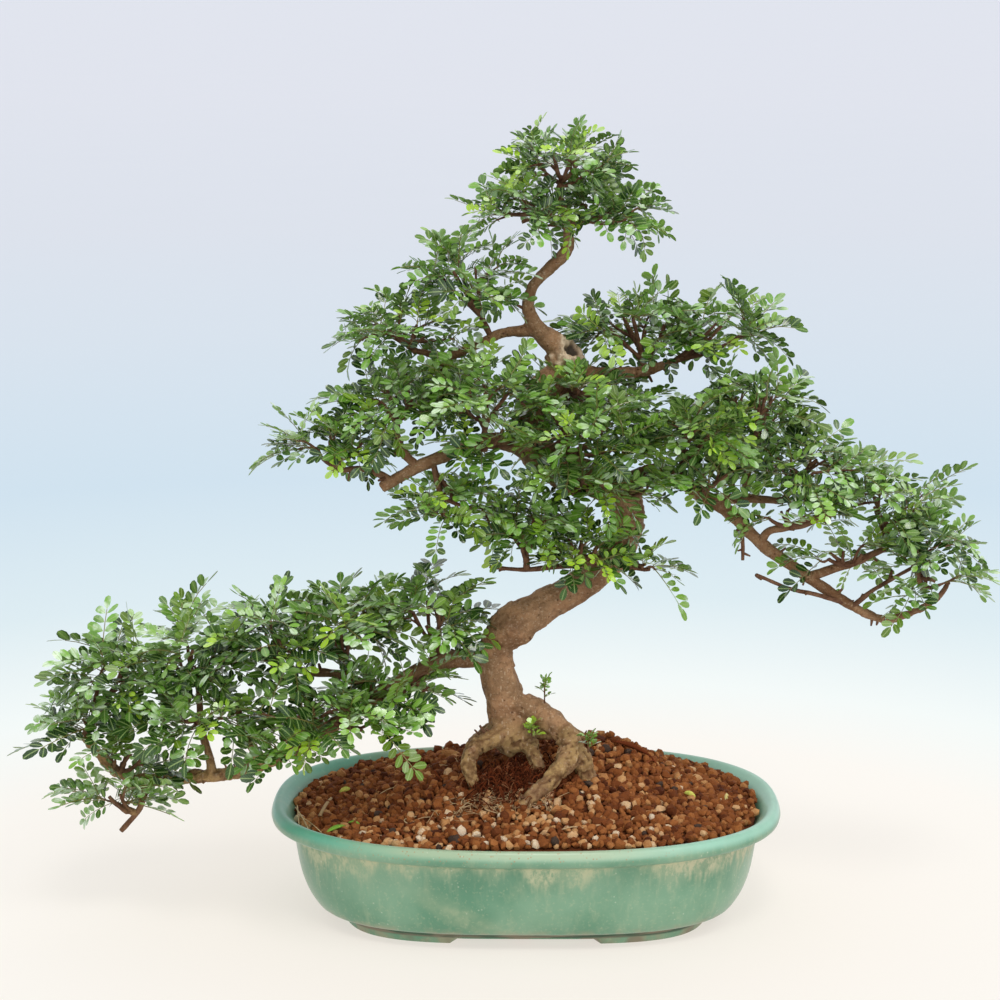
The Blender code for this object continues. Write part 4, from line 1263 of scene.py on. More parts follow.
def random_turns(count: int, draw: np.random.Generator) -> Array:
    """Turning matrices drawn evenly, from random unit quaternions.

    Args:
        count: how many.
        draw: the source of chance.

    Returns:
        One matrix of 3 by 3 for each.
    """
    w, x, y, z = unit(draw.normal(size=(count, 4))).T
    rows = [
        [1 - 2 * (y * y + z * z), 2 * (x * y - z * w), 2 * (x * z + y * w)],
        [2 * (x * y + z * w), 1 - 2 * (x * x + z * z), 2 * (y * z - x * w)],
        [2 * (x * z - y * w), 2 * (y * z + x * w), 1 - 2 * (x * x + y * y)],
    ]
    return np.moveaxis(np.array(rows), 2, 0)


class Region(Enum):
    """Where on the wood a kind of bump grows: all over, more on thick limbs, or only in one part."""

    ALL = 0
    GIRTH = 1
    THIN = 2
    LOW = 3
    ROOT = 4


@dataclass
class Wood:
    """The trunk, the bare roots and the branches, with grown joints, knobs and the old pruning wound."""

    voxel: float = 1.15 * MM
    # The step between a limb's samples in mm, on heavy and on thin limbs.
    sample: float = 2.5
    fine_sample: float = 2.0
    # How many places the search for the nearest limb takes at once.
    block: int = 4000
    smoothing: int = 4
    wound_middle: tuple = (32.0, 0.0, 378.0)
    wound_facing: tuple = (0.42, -0.60, 0.68)
    wound_radius: float = 4.9 * MM
    wound_depth: float = 4.2 * MM
    callus_height: float = 1.6 * MM
    root_top: float = 134 * MM
    spurs: int = 90
    # How far a spur stands out of its limb, and its radius, in mm.
    spur_reach: tuple = (1.5, 6.5)
    spur_radii: tuple = (0.9, 1.7)
    # The height of the knobs on thin branches and on spurs, as a share of the radius.
    knobs: float = 0.20
    spur_knobs: float = 0.12
    # Bumps: height and cell size in mm, the noise's seed, whether it is drawn out along the limb, and where.
    bumps: tuple = (
        (0.95, 10.0, 1.0, True, Region.GIRTH), (0.50, 6.0, 2.0, False, Region.GIRTH),
        (0.20, 2.6, 3.0, True, Region.ALL), (0.45, 4.2, 7.0, False, Region.THIN),
        (0.45, 4.4, 10.0, False, Region.LOW), (0.60, 8.0, 4.0, True, Region.ROOT),
        (0.60, 3.2, 5.0, False, Region.ROOT),
    )
    drawn_out: float = 0.72
    # Clefts on the roots, and on the rest: share of the depth, cell size in mm, the noise's seed, and width.
    clefts: tuple = ((1.0, 6.5, 8.0, 0.13), (0.35, 9.0, 9.0, 0.07))
    cleft_depth: float = 1.3 * MM
    bark: bpy.types.Material = field(default_factory=lambda: Bark().material())
    samples: Array = field(init=False)

    def __post_init__(self) -> None:
        """Samples every limb once, for the tests of depth and of the nearest wood."""
        rows = (TRUNK, *ROOTS, *HEAVY_BRANCHES, *LIGHT_BRANCHES, WOUND_STUB, BURL)
        self.samples = np.vstack([limb_path(limb, self.sample) for limb in rows])

    def nearest(self, places: Array, samples: Array) -> tuple[Array, Array]:
        """The sample whose limb reaches nearest to each place.

        Args:
            places: places, one a row.
            samples: limb samples, as x, y, z and radius.

        Returns:
            The sample's number and the place's distance from the limb's skin, negative inside it.
        """
        number = np.zeros(len(places), int)
        gap = np.zeros(len(places))
        for start in range(0, len(places), self.block):
            part = slice(start, start + self.block)
            away = np.linalg.norm(places[part, None] - samples[None, :, :3], axis=2) - samples[:, 3]
            number[part] = away.argmin(axis=1)
            gap[part] = away.min(axis=1)
        return number, gap

    def depth(self, places: Array) -> Array:
        """How deep each place lies in the wood, negative outside it."""
        return -self.nearest(places, self.samples)[1]

    def heavy(self) -> bpy.types.Object:
        """The trunk, the roots and the main branches, fused by a voxel skin, smoothed, and roughened.

        Returns:
            The piece.
        """
        limbs = [limb_path(rows, self.sample) for rows in (TRUNK, *ROOTS, *HEAVY_BRANCHES, WOUND_STUB, BURL)]
        rough = Surface.join([tubes(limb[None, :, :3], limb[None, :, 3], 20) for limb in limbs])
        core = rough.piece("rough_wood", self.bark)
        fuse = core.modifiers.new("fuse", "REMESH")
        fuse.mode = "VOXEL"
        fuse.voxel_size = self.voxel
        fused = applied(core)
        bpy.data.objects.remove(core)
        points, quads, tris, edges = mesh_arrays(fused)
        for _ in range(self.smoothing):
            points = relaxed(points, edges, 0.5)
        surface = Surface(points, quads, tris)
        self.weather(surface, np.vstack(limbs))
        return place(surface.piece("trunk_bark", self.bark), Slot.BARK, "trunk_and_branches")

    def weather(self, surface: Surface, samples: Array) -> None:
        """Raises muscles, knobs and fine bumps along the skin, and sinks clefts and the old wound.

        Each bump is noise whose cells are drawn out along the limb, times a height that grows with the
        limb's thickness, or near the soil, or on thin limbs. A cleft follows the places where such noise
        crosses 0.

        Args:
            surface: the smooth skin, which gets new places and the marks that the bark reads.
            samples: limb samples, as x, y, z and radius.
        """
        points = surface.points
        number, _ = self.nearest(points, samples)
        radius = samples[number, 3]
        heading = unit(np.gradient(samples[:, :3], axis=0))[number]
        outward = normals(points, surface.quads, surface.tris)
        drawn = points - self.drawn_out * heading * (points * heading).sum(axis=1, keepdims=True)
        rooty = np.clip((self.root_top - points[:, 2]) / (14 * MM), 0, 1)
        grows = {
            Region.ALL: 1.0,
            Region.GIRTH: np.clip(radius / (10 * MM), 0.3, 1.2),
            Region.THIN: np.clip((7 * MM - radius) / (3 * MM), 0, 1),
            Region.LOW: np.clip((self.root_top + 26 * MM - points[:, 2]) / (30 * MM), 0, 1),
            Region.ROOT: rooty,
        }
        lift = 0.0
        for height, size, seed, along, region in self.bumps:
            lift += height * MM * grows[region] * cell_noise(drawn if along else points, size * MM, seed)
        cleft = 0.0
        for (share, size, seed, width), where in zip(self.clefts, (rooty, 1 - rooty)):
            cleft += share * np.exp(-((cell_noise(drawn, size * MM, seed) / width) ** 2)) * where
        cleft *= np.clip(radius / (6 * MM), 0, 1)
        surface.points = points + outward * (lift - self.cleft_depth * cleft)[:, None]
        bowl, rim = self.wound(surface, outward)
        surface.marked("limb", radius / MM, np.clip(bowl * 3, 0, 1), rim).marked("cleft", cleft)

    def wound(self, surface: Surface, outward: Array) -> tuple[Array, Array]:
        """Sinks the old pruning wound and raises a ring of callus round it, both with uneven outlines.

        Args:
            surface: the skin, which gets new places.
            outward: its outward directions.

        Returns:
            The shares of the wound's hollow and of its rim at each point.
        """
        points = surface.points
        facing = unit(np.array(self.wound_facing))
        offset = points - (np.array(self.wound_middle) * MM + POT_MIDDLE)
        along = offset @ facing
        around = np.linalg.norm(offset - along[:, None] * facing, axis=1)
        around *= 1 + 0.40 * cell_noise(points, 6 * MM, 6.0) + 0.30 * cell_noise(points, 2.5 * MM, 11.0)
        here = (np.abs(along) < 13 * MM) & ((outward @ facing) > -0.25)
        bowl = np.clip(1 - (around / self.wound_radius) ** 2, 0, 1) * here
        rim = np.exp(-(((around - self.wound_radius * 1.45) / (2.9 * MM)) ** 2)) * here
        points = points - facing * (bowl**0.6 * self.wound_depth)[:, None]
        surface.points = points + outward * (rim * self.callus_height)[:, None]
        return bowl, rim

    def light(self) -> bpy.types.Object:
        """The thinner branches, as knobbly tubes whose ends are sunk into what bears them, and short spurs.

        Returns:
            The piece.
        """
        limbs = [limb_path(rows, self.fine_sample)[None] for rows in LIGHT_BRANCHES]
        parts = [knobbly(limb, 12, self.knobs, seed) for seed, limb in enumerate(limbs)]
        draw = np.random.default_rng(SEED)
        bearing = self.samples[(self.samples[:, 3] < 7 * MM) & (self.samples[:, 2] > 85 * MM)]
        picked = draw.integers(1, len(bearing) - 1, self.spurs)
        heading = unit(bearing[picked + 1, :3] - bearing[picked - 1, :3])
        side = unit(np.cross(heading, draw.normal(size=(self.spurs, 3))) + heading * 0.4)
        reach = bearing[picked, 3] + draw.uniform(*self.spur_reach, self.spurs) * MM
        steps = np.linspace(0, 1, 5)
        paths = bearing[picked, None, :3] + side[:, None] * reach[:, None, None] * steps[:, None]
        radii = np.linspace(1.0, 0.5, 5) * draw.uniform(*self.spur_radii, (self.spurs, 1)) * MM
        parts.append(knobbly(np.dstack([paths, radii]), 6, self.spur_knobs, seed=20))
        return place(Surface.join(parts).piece("branch_bark", self.bark), Slot.BARK)


def knobbly(limbs: Array, sides: int, share: float, seed: float) -> Surface:
    """Tubes whose skin is raised by noise, with the limb's radius as the first of their marks.

    Args:
        limbs: x, y, z and radius, as limb and station.
        sides: how many points a ring has.
        share: the height of the bumps as a share of the radius.
        seed: shifts the noise.

    Returns:
        Their surface.
    """
    surface = tubes(limbs[..., :3], limbs[..., 3], sides)
    rings = np.repeat(limbs, sides, axis=1)
    spine = np.concatenate([rings, limbs[:, [0, -1]]], axis=1).reshape(-1, 4)
    outward = unit(surface.points - spine[:, :3])
    thick = spine[:, 3]
    lift = share * thick * cell_noise(surface.points, 4.5 * MM, seed)
    lift += share * 0.6 * MM * cell_noise(surface.points, 2 * MM, 9.0)
    surface.points += outward * lift[:, None]
    return surface.marked("limb", thick / MM).marked("cleft", 0.0)


def mesh_arrays(mesh: bpy.types.Mesh) -> tuple[Array, Array, Array, Array]:
    """A mesh as arrays.

    Args:
        mesh: any mesh of quads and triangles.

    Returns:
        Its points, quads, triangles and edges.
    """

    def read(
        items: bpy.types.bpy_prop_collection, name: str, width: int = 1, kind: type = np.int32
    ) -> Array:
        """One property of all the items.

        Args:
            items: the mesh's points, corners, faces or edges.
            name: the property.
            width: how many numbers an item has.
            kind: their kind.

        Returns:
            The numbers, one after the other.
        """
        values = np.empty(len(items) * width, kind)
        items.foreach_get(name, values)
        return values

    corners = read(mesh.loops, "vertex_index")
    starts, totals = read(mesh.polygons, "loop_start"), read(mesh.polygons, "loop_total")
    quads, tris = (corners[starts[totals == count][:, None] + np.arange(count)] for count in (4, 3))
    points = read(mesh.vertices, "co", 3, np.float32).reshape(-1, 3).astype(float)
    return points, quads, tris, read(mesh.edges, "vertices", 2).reshape(-1, 2)


def sums(numbers: Array, values: Array, count: int) -> Array:
    """The sum of the values that carry each number, for every column."""
    return np.column_stack([np.bincount(numbers, column, count) for column in values.T])


def relaxed(points: Array, edges: Array, share: float) -> Array:
    """Points drawn towards the mean of their neighbours.

    Args:
        points: the points.
        edges: pairs of neighbours.
        share: how far they are drawn.

    Returns:
        The new places.
    """
    neighbours = np.bincount(edges.ravel(), minlength=len(points))
    total = sum(sums(edges[:, i], points[edges[:, 1 - i]], len(points)) for i in (0, 1))
    return points + share * (total / np.maximum(neighbours, 1)[:, None] - points)


def normals(points: Array, quads: Array, tris: Array) -> Array:
    """Outward directions: the sum of the cross products of the faces round each point.

    Args:
        points: the points.
        quads: the four-sided faces.
        tris: the three-sided faces, if any.

    Returns:
        A direction of length 1 at each point.
    """
    total = np.zeros_like(points)
    for faces in (quads, tris):
        if len(faces):
            one = points[faces[:, 2]] - points[faces[:, 0]]
            across = np.cross(one, points[faces[:, -1]] - points[faces[:, 1]])
            total += sum(sums(corner, across, len(points)) for corner in faces.T)
    return unit(total)


@dataclass
class Frond:
    """Compound leaves: a winged rib with pairs of small obovate leaflets and one at its tip."""

    leaflet_length: float = 8.8 * MM
    leaflet_width: float = 4.8 * MM
    pitch: float = 5.0 * MM
    stalk: float = 6.5 * MM
    thickness: float = 0.3 * MM
    rib_radius: float = 0.42 * MM
    rib_stations: int = 6
    # Ranges drawn for each: the rib's rise and droop in radians, the blade's tilt in degrees, and its cup.
    rise: tuple = (0.0, 0.40)
    droop: tuple = (0.2, 1.0)
    tilt_deg: tuple = (4, 34)
    cup: tuple = (0.02, 0.26)
    # How far leaflets stand off the rib at its foot and at its tip, in degrees.
    spread_deg: tuple = (74, 54)
    # The scatter of the rib's sway and of a leaflet's angle, twist, size and curl.
    sway: float = 0.12
    angle_scatter: float = 0.10
    twist: float = 0.22
    size_scatter: float = 0.08
    curl: tuple = (0.06, 0.08)
    # Rows of a leaflet, and in each the share of its length and of its half width.
    rows: tuple = ((0.24, 0.72), (0.58, 1.0), (0.88, 0.72))
    # The side mark of a leaflet's edges and face; its back goes down to -1.
    face_mark: float = 0.4

    def template(self) -> tuple[Array, Array, Array]:
        """One leaflet: in each row a point at either edge and one on the back, between a base and a tip.

        Returns:
            The points as across, along and layer, the quads and the triangles.
        """
        points = [(0.0, 0.0, self.face_mark)]
        for along, wide in self.rows:
            points += [(wide, along, self.face_mark), (-wide, along, self.face_mark), (0, along, -1)]
        tip = len(points)
        points.append((0.0, 1.0, self.face_mark))
        sides = ((1, 0), (2, 1), (0, 2))
        quads = [
            (3 * row + 1 + a, 3 * row + 4 + a, 3 * row + 4 + b, 3 * row + 1 + b)
            for row in range(len(self.rows) - 1) for a, b in sides
        ]
        tris = [(0, 1 + a, 1 + b) for a, b in sides] + [(tip - 3 + a, tip, tip - 3 + b) for a, b in sides]
        return np.array(points, float), np.array(quads), np.array(tris)

    def grow(
        self, pairs: int, bases: Array, headings: Array, faces: Array, sizes: Array, ages: Array,
        tones: Array, draw: np.random.Generator,
    ) -> Surface:
        """Grows compound leaves of one count of pairs.

        The rib is an arc in the plane of its heading and its face: its slope falls steadily from a rise to a
        droop. Each leaflet leaves the rib at an angle, tilted up a little from the blade, and is cupped
        along its midrib and curled at its tip.

        Args:
            pairs: how many pairs of leaflets each has.
            bases: where the leaves leave their twigs.
            headings: the directions that they leave in.
            faces: the directions that their upper faces look in.
            sizes: a factor on each leaf's size.
            ages: 0 for an old leaf and 1 for a young one.
            tones: 0 for a deep leaf and 1 for a pale one that takes the painted sheen; it carries painted
                light and shade.
            draw: the source of chance.

        Returns:
            The leaves' surface, with the marks that the leaf finish reads.
        """
        count = len(bases)
        side = unit(np.cross(faces, headings))
        frames = np.stack([headings, side, np.cross(headings, side)], axis=1)
        rise = draw.uniform(*self.rise, (count, 1))
        droop = draw.uniform(*self.droop, (count, 1))
        sway = draw.normal(0, self.sway, (count, 1))
        order = np.r_[np.repeat(np.arange(pairs), 2), pairs - 0.55]
        hand = np.r_[np.tile([1.0, -1.0], pairs), 0.0]
        full = self.stalk + (pairs - 0.45) * self.pitch

        def along_rib(distance: Array) -> tuple[Array, Array, Array]:
            """Places, headings and upward directions at distances along the rib, in the leaf's own frame.

            Args:
                distance: distances from the twig, as leaf and place.

            Returns:
                The three arrays of vectors.
            """
            share = distance / full
            slope = rise - droop * share
            x = full / droop * (np.sin(rise) - np.sin(slope))
            z = full / droop * (np.cos(slope) - np.cos(rise))
            spots = np.stack([x, sway * full * share**2, z], axis=-1)
            zero = np.zeros_like(slope)
            ahead = unit(np.stack([np.cos(slope), 2 * sway * share, np.sin(slope)], axis=-1))
            above = np.stack([-np.sin(slope), zero, np.cos(slope)], axis=-1)
            return spots, ahead, above

        spots, ahead, above = along_rib(np.broadcast_to(self.stalk + order * self.pitch, (count, len(order))))
        spread = np.radians(np.interp(order, [0, pairs - 1], self.spread_deg)) * (hand != 0)
        spread = spread + draw.normal(0, self.angle_scatter, (count, len(order)))
        tilt = np.radians(draw.uniform(*self.tilt_deg, (count, 1)))
        sideways = np.cross(above, ahead)
        lean = hand[None, :, None]
        turned = np.cos(spread)[..., None] * ahead
        turned += (np.sin(spread) * np.cos(tilt))[..., None] * lean * sideways
        turned += (np.abs(np.sin(spread)) * np.sin(tilt) * (hand != 0))[..., None] * above
        turned = unit(turned)
        wide = square_to(ahead, turned) * -lean
        wide = np.where(lean == 0, unit(np.cross(above, turned)), wide)
        upper = np.cross(turned, wide)
        twist = draw.normal(0, self.twist, (count, len(order), 1))
        cosine, sine = np.cos(twist), np.sin(twist)
        wide, upper = wide * cosine - upper * sine, upper * cosine + wide * sine

        points, quads, tris = self.template()
        across, along, layer = points.T
        scale = np.interp(order, [0, pairs * 0.5, pairs], [0.82, 1.0, 1.04])
        scale = scale * draw.normal(1, self.size_scatter, (count, len(order)))
        cup = draw.uniform(*self.cup, (count, len(order), 1))
        curl = draw.normal(*self.curl, (count, len(order), 1))
        half = self.leaflet_width / 2
        blade = along * self.leaflet_length + 0.5 * MM
        height = cup * np.abs(across) * half + layer * self.thickness / 2
        height = height - curl * along**2 * self.leaflet_length
        local = blade[:, None] * turned[:, :, None] + (across * half)[:, None] * wide[:, :, None]
        local += height[..., None] * upper[:, :, None]
        local = spots[:, :, None] + local * scale[..., None, None]
        local = local.reshape(count, -1, 3) * sizes[:, None, None]
        world = np.einsum("nvi,nij->nvj", local, frames) + bases[:, None]
        shape = (count, len(order), len(points))
        shift = (np.arange(count * len(order)) * len(points))[:, None, None]
        leaf = Surface(world.reshape(-1, 3), (quads + shift).reshape(-1, 4), (tris + shift).reshape(-1, 3))
        # Painted light: leaflets that lie flat, facing up or down, are made paler, towards the painted sheen.
        upward = np.abs(np.einsum("nli,ni->nl", upper, frames[:, :, 2]))
        tones = tones[:, None] + 0.30 * (upward - 0.7) + draw.normal(0, 0.12, upward.shape)
        values = (across, along, ages[:, None, None], layer, np.clip(tones, 0, 1)[..., None])
        marks = [np.broadcast_to(value, shape).ravel() for value in values]
        leaf.marked("leaf", *marks[:3]).marked("face", *marks[3:])

        stations = np.linspace(-0.06, 1.0, self.rib_stations) * full
        rib = along_rib(np.broadcast_to(stations, (count, len(stations))))[0] * sizes[:, None, None]
        rib = np.einsum("nsi,nij->nsj", rib, frames) + bases[:, None]
        radii = np.interp(stations, [0, full], [1.0, 0.55])[None] * self.rib_radius * sizes[:, None]
        ribs = tubes(rib, radii, 3).marked("leaf", 0.5, 0.5, ages).marked("face", 1.0, 0.5, 1.0)
        return Surface.join([leaf, ribs])


@dataclass
class Foliage:
    """The leafy sprays: forking twigs that rise from the nearest wood, with rosettes of compound leaves."""

    swell: float = 1.22
    limbs: int = 5
    density: float = 1.06
    # The part of that density in the groups that are looser than the rest.
    thinned: dict = field(default_factory=lambda: {"low": 0.86, "right": 0.93})
    leaves_a_twig: int = 8
    # A leaf is left out where the wood lies this far along its heading.
    clearance: float = 18 * MM
    young_share: float = 0.26
    long_share: float = 0.16
    pair_choices: tuple = (3, 4, 4, 5, 5, 6)
    # Which of a twig's rosettes each of its leaves belongs to, and where along the twig those sit.
    rosette_of_rank: tuple = (0, 0, 0, 1, 1, 1, 2, 2, 2)
    rosette_spots: tuple = (1.0, 0.66, 0.36)
    flatten: float = 0.6
    # A factor on the leaves' size by the first word of a spray's name.
    leaf_sizes: dict = field(default_factory=lambda: {
        "apex": 0.84, "crown": 0.92, "right": 0.98, "low": 1.12, "tuft": 1.02,
    })
    seed: int = SEED
    frond: Frond = field(default_factory=Frond)
    finish: bpy.types.Material = field(default_factory=lambda: Leaf().material())
    twig_parts: list[Surface] = field(default_factory=list)

    def spread(self, count: int, low: float, draw: np.random.Generator) -> Array:
        """Directions spread evenly over a ball above a height: a spiral that turns by the golden angle.

        Args:
            count: how many.
            low: the least height, from -1 at the ball's foot to 1 at its top.
            draw: the source of chance.

        Returns:
            The directions.
        """
        turn = np.arange(count) * GOLDEN_TURN + draw.uniform(0, 2 * np.pi)
        height = low + (1 - low) * (np.arange(count) + 0.5) / count
        return np.column_stack([compass(turn) * np.sqrt(1 - height**2)[:, None], height])

    def add_twigs(self, paths: Array, thick: float, thin: float, draw: np.random.Generator) -> None:
        """Keeps twigs with knots along paths, for the piece that holds them all.

        Args:
            paths: places as twig, station, and x, y, z.
            thick: the radius at the start.
            thin: the radius at the end.
            draw: the source of chance.
        """
        count, stations = paths.shape[:2]
        radii = np.linspace(thick, thin, stations) * draw.uniform(0.85, 1.15, (count, 1))
        radii = radii * draw.uniform(0.86, 1.2, (count, stations))
        self.twig_parts.append(knobbly(np.dstack([paths, radii]), 5, 0.1, 1.0))

    def twigs(self, start: Array, middle: Array, half: Array, count: int, draw: np.random.Generator) -> Array:
        """One stem from the wood, limbs from the stem, and twigs from the limbs out to the spray's skin.

        Args:
            start: where the stem leaves the wood.
            middle: the middle of the spray.
            half: its half sizes.
            count: how many twigs it gets.
            draw: the source of chance.

        Returns:
            The twigs' paths.
        """
        hub = middle + (start - middle) * 0.35
        hub[2] = min(hub[2], middle[2] - half[2] * 0.25)
        nodes = middle + self.spread(self.limbs, -0.35, draw) * half * draw.uniform(0.4, 0.6, (self.limbs, 1))
        first = start + (hub - start) * draw.uniform(0.15, 1.0, (self.limbs, 1))
        pull = (first + nodes) / 2 + draw.normal(0, 2.5 * MM, (self.limbs, 3)) - UP * 3 * MM
        low_paths = bent_paths(first, pull, nodes, 8)
        stem = bent_paths(start[None], ((start + hub) / 2 - UP * 2 * MM)[None], hub[None], 8)
        self.add_twigs(stem, 2.3 * MM, 1.7 * MM, draw)
        self.add_twigs(low_paths, 1.6 * MM, 1.05 * MM, draw)
        reach = draw.uniform(0.5, 1.0, (count, 1))
        reach = np.where(draw.random((count, 1)) < self.long_share, reach * 1.35, reach)
        tips = middle + self.spread(count, -0.55, draw) * half * reach
        owner = np.linalg.norm(tips[:, None] - nodes[None], axis=2).argmin(axis=1)
        roots = low_paths[owner, draw.integers(3, 8, count)]
        pull = (roots + tips) / 2 + UP * draw.uniform(-3, 5, (count, 1)) * MM
        pull = pull + draw.normal(0, 2 * MM, (count, 3))
        paths = bent_paths(roots, pull, tips, 7)
        self.add_twigs(paths, 1.0 * MM, 0.55 * MM, draw)
        return paths

    def spray(self, name: str, shape: tuple, wood: Wood, *nodes: str) -> bpy.types.Object:
        """One spray: its twigs, and rosettes of leaves that fan out from points along them.

        Args:
            name: the spray's name.
            shape: its middle and half sizes in mm, and how many leaves it bears.
            wood: the wood that bears it.
            nodes: the solids that it stands for.

        Returns:
            The piece that holds its leaves.
        """
        draw = np.random.default_rng([self.seed, *name.encode()])
        middle = np.array(shape[0]) * MM + POT_MIDDLE
        half = np.array(shape[1]) * MM * self.swell
        group = name.split("_")[0]
        count = round(shape[2] * self.density * self.thinned.get(group, 1.0))
        carriers = wood.samples[(wood.samples[:, 2] > 0.16) | (wood.samples[:, 0] < -0.1)]
        start = carriers[np.linalg.norm(carriers[:, :3] - middle, axis=1).argmin(), :3]
        paths = self.twigs(start, middle, half, max(3, round(count / self.leaves_a_twig)), draw)
        twig = np.arange(count) % len(paths)
        rank = np.arange(count) // len(paths)
        rosette = np.array(self.rosette_of_rank)[np.minimum(rank, len(self.rosette_of_rank) - 1)]
        bud = twig * 3 + rosette
        spot = np.array(self.rosette_spots)[rosette] + draw.uniform(-0.1, 0.0, len(paths) * 3)[bud]
        spot = spot * (paths.shape[1] - 1)
        low = np.minimum(spot.astype(int), paths.shape[1] - 2)
        part = (spot - low)[:, None]
        bases = paths[twig, low] * (1 - part) + paths[twig, low + 1] * part
        ahead = unit(paths[twig, low + 1] - paths[twig, low])
        outward = unit((bases - middle) / half**2)
        lean = unit(outward * 0.8 + ahead * 0.5 + UP * 0.3 + draw.normal(0, 0.25, (len(paths) * 3, 3))[bud])
        first = unit(np.cross(lean, np.where(np.abs(lean[:, 2:]) < 0.8, UP, np.array([1.0, 0.0, 0.0]))))
        second = np.cross(lean, first)
        turn = (rank * GOLDEN_TURN + draw.uniform(0, 2 * np.pi, len(paths) * 3)[bud])[:, None]
        fan = draw.uniform(0.35, 1.5, (count, 1))
        headings = lean + (first * np.cos(turn) + second * np.sin(turn)) * fan
        headings[:, 2] = headings[:, 2] * self.flatten - 0.04
        headings = unit(headings)
        faces = UP + outward * draw.uniform(0, 0.9, (count, 1)) + draw.normal(0, 0.3, (count, 3))
        faces = square_to(faces, headings)
        fresh = (draw.random(len(paths) * 3) < self.young_share)[bud] & (rosette == 0)
        ages = np.where(fresh, draw.uniform(0.5, 1, count), draw.uniform(0, 0.3, count) * (rosette == 0))
        sizes = draw.uniform(0.75, 1.12, count) * np.where(fresh, 0.85, 1.0) * self.leaf_sizes[group]
        # Painted light and shade in the tone: leaves high in the spray are paler and those deep inside it
        # darker, over a random spread.
        high = np.clip((bases - middle)[:, 2] / half[2], -1, 1)
        depth = 1 - np.clip(np.linalg.norm((bases - middle) / half, axis=1), 0, 1)
        tones = 0.57 + 0.32 * high - 0.42 * depth + draw.normal(0, 0.22, count)
        clear = wood.depth(bases + headings * self.clearance) < 0.5 * MM
        pairs = draw.choice(self.pair_choices, count)
        parts = []
        for number in sorted(set(self.pair_choices)):
            pick = clear & (pairs == number)
            if pick.any():
                chosen = (values[pick] for values in (bases, headings, faces, sizes, ages, tones))
                parts.append(self.frond.grow(number, *chosen, draw))
        piece = Surface.join(parts).piece("fronds_" + name, self.finish, sharp_deg=60.0)
        return place(piece, Slot.LEAF, *nodes)

    def build(self, wood: Wood) -> None:
        """Makes every spray, the loose tufts, and the one piece that holds all the twigs.

        Args:
            wood: the wood that bears them.
        """
        for name, shape in SPRAYS.items():
            self.spray(name, shape, wood, "leaves_" + name)
        for name, shape in TUFTS.items():
            self.spray(name, shape, wood)
        place(Surface.join(self.twig_parts).piece("fine_twigs", wood.bark), Slot.BARK)


@dataclass
class Shoots:
    """Small fresh shoots on the trunk's foot and the roots, one for each of the solids."""

    names: tuple = ("sprout_trunk", "sprout_root_left", "sprout_root_right")
    leaves: int = 6
    fresh_age: float = 0.75
    old_age: float = 0.2
    seed: int = SEED

    def build(self, foliage: Foliage) -> None:
        """A short stem in the middle of each solid's box, with small fronds round it.

        Args:
            foliage: the leaves' finish, and the piece of twigs that takes the stems in.
        """
        small = Frond(leaflet_length=4.6 * MM, leaflet_width=3.4 * MM, pitch=2.6 * MM, stalk=1.6 * MM)
        share = np.linspace(0.35, 1.0, self.leaves)
        turn = np.arange(self.leaves) * GOLDEN_TURN
        headings = unit(np.column_stack([compass(turn), share * 1.8]))
        for number, name in enumerate(self.names):
            draw = np.random.default_rng(self.seed + number)
            low, high = (np.array(corner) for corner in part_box(name))
            middle = (low + high) / 2
            foot = np.array([*middle[:2], low[2]])
            top = np.array([*middle[:2], low[2] * 0.35 + high[2] * 0.65])
            path = bent_paths(foot[None], middle[None], top[None], 6)
            foliage.add_twigs(path, 0.6 * MM, 0.35 * MM, draw)
            bases = path[0, (share * 5).astype(int)]
            faces = square_to(UP + draw.normal(0, 0.2, (self.leaves, 3)), headings)
            sizes = draw.uniform(0.7, 1.0, self.leaves)
            ages = np.full(self.leaves, self.fresh_age if "left" in name else self.old_age)
            surface = small.grow(2, bases, headings, faces, sizes, ages, ages * 0 + 0.5, draw)
            shoot = surface.piece("shoot_" + name.removeprefix("sprout_"), foliage.finish, sharp_deg=60.0)
            place(shoot, Slot.LEAF, name)


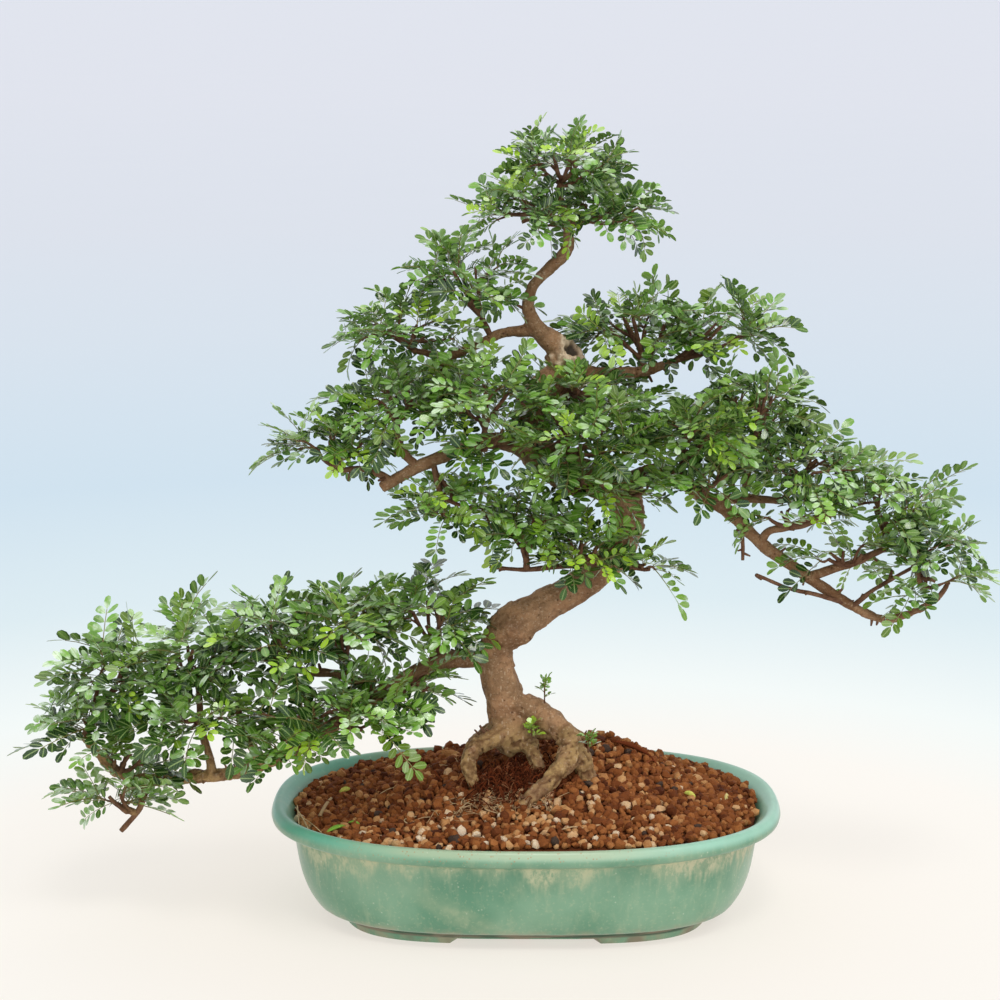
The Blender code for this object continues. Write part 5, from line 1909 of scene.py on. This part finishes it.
@dataclass
class Studio:
    """A plain pale floor that partly glows as painted light, soft suns, a bright sky and the camera at the
    photograph's angle.
    """

    camera_place: tuple = (0.012, -1.80, 0.6186)
    pitch_deg: float = 10.787
    pan_deg: float = 0.5485
    lens: float = 100.26
    sensor: float = 36.0
    floor_radius: float = 500.0
    # The floor's colours from the pot outwards, each at its distance in metres.
    floor_stops: tuple = (
        (0.20, (0.93, 0.875, 0.81)), (0.42, (0.91, 0.875, 0.825)), (0.60, (0.84, 0.88, 0.865)),
        (0.95, (0.67, 0.77, 0.81)), (1.60, (0.575, 0.690, 0.780)), (3.0, (0.625, 0.690, 0.764)),
        (5.0, (0.65, 0.683, 0.750)), (12.0, (0.67, 0.69, 0.756)),
    )
    distance_power: float = 0.4
    # The share of the floor's brightness that it gives off itself: a painted glow, though the floor is no
    # lamp, that softens the shadows on it.
    glow: float = 0.65
    full_light: float = 1.05
    sky: tuple = (0.93, 0.965, 1.0)
    sky_strength: float = 0.76
    # What is seen over the floor's far edge, in the far floor's own colour.
    far_air: tuple = (0.765, 0.793, 0.868)
    # Suns: name, height and bearing in degrees, width in degrees, strength and colour. The bearing is 0
    # from behind the camera and grows to the viewer's right.
    suns: tuple = (
        ("key", 60.0, 4.0, 16.0, 0.70, (1.0, 0.985, 0.95)),
        ("fill_front", 16.0, 14.0, 50.0, 0.78, (1.0, 0.98, 0.95)),
        ("fill_right", 48.0, 52.0, 24.0, 0.42, (0.98, 0.985, 1.0)),
        ("sheen_back", 48.0, 168.0, 60.0, 0.35, (1.0, 0.99, 0.97)),
    )

    def floor(self) -> None:
        """The floor: rings that grow outwards, warm white near the pot and pale blue further off."""
        plan = compass(turns_round(96))
        radii = np.array([0.01, 0.5, 1, 2, 4, 8, 16, 40, 120, self.floor_radius])[::-1]
        rings = np.column_stack([plan, plan[:, 0] * 0])[None] * radii[:, None, None]
        below = rings[:1] - UP * 0.02
        g = Graph("studio_floor")
        away = g.add("VectorMath", {"operation": "LENGTH"}, {0: g.place}, out="Value")
        last = self.floor_stops[-1][0]
        stops = tuple(((reach / last) ** self.distance_power, colour) for reach, colour in self.floor_stops)
        colour = g.ramp((away * (1 / last)).math("POWER", self.distance_power), stops)
        material = g.finish(
            Base_Color=g.mix(self.glow, colour, (0.0, 0.0, 0.0)),
            Emission_Color=colour,
            Emission_Strength=self.glow * self.full_light,
            Roughness=0.85 + 0.1 * g.noise(3, 1),
            Specular_IOR_Level=0.1,
        )
        skin(np.concatenate([below, rings])[None]).piece("studio_floor", material)

    def light(
        self, name: str, height: float, bearing: float, width: float, power: float, colour: tuple
    ) -> None:
        """A soft sun.

        Args:
            name: its name.
            height: its height in degrees above the floor.
            bearing: its bearing in degrees.
            width: its width in degrees.
            power: its strength.
            colour: its colour.
        """
        data = bpy.data.lights.new(name, "SUN")
        data.angle = math.radians(width)
        data.energy = power
        data.color = colour
        lamp = added(name, data)
        lamp.rotation_euler = (math.radians(90 - height), 0.0, math.radians(bearing))

    def build(self) -> None:
        """Makes the floor, the suns, the sky and the camera."""
        self.floor()
        for sun in self.suns:
            self.light(*sun)
        scene = bpy.context.scene
        scene.world = bpy.data.worlds.new("studio_air")
        air = Graph("studio_air", scene.world)
        light = air.add("Background", sockets={"Color": self.sky, "Strength": self.sky_strength})
        seen = air.add("Background", sockets={"Color": self.far_air})
        by_camera = air.add("LightPath", out="Is Camera Ray")
        both = air.add("MixShader", sockets={0: by_camera, 1: light, 2: seen})
        air.feed(air.tree.nodes["World Output"].inputs["Surface"], both)
        scene.view_settings.view_transform = "Standard"
        data = bpy.data.cameras.new("view")
        data.lens = self.lens
        data.sensor_width = self.sensor
        camera = added("view", data)
        camera.location = self.camera_place
        camera.rotation_euler = (math.radians(90 - self.pitch_deg), 0.0, math.radians(self.pan_deg))
        scene.camera = camera


def dress_drain_meshes() -> None:
    """Gives the two drain meshes, whose solids stay, their plastic."""
    finish = Plastic().material()
    for name in ("drain_mesh_left", "drain_mesh_right"):
        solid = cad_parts[name]
        solid.data.materials.clear()
        solid.data.materials.append(finish)


def main() -> None:
    """Builds the studio and then the bonsai, from the pot up."""
    logging.basicConfig(level=logging.INFO, format="%(name)s: %(message)s")
    Studio().build()
    pot = Pot()
    wood = Wood()
    foliage = Foliage()
    pot.build()
    dress_drain_meshes()
    Soil().build(pot, wood)
    wood.heavy()
    wood.light()
    Shoots().build(foliage)
    foliage.build(wood)


if __name__ == "__main__":
    main()
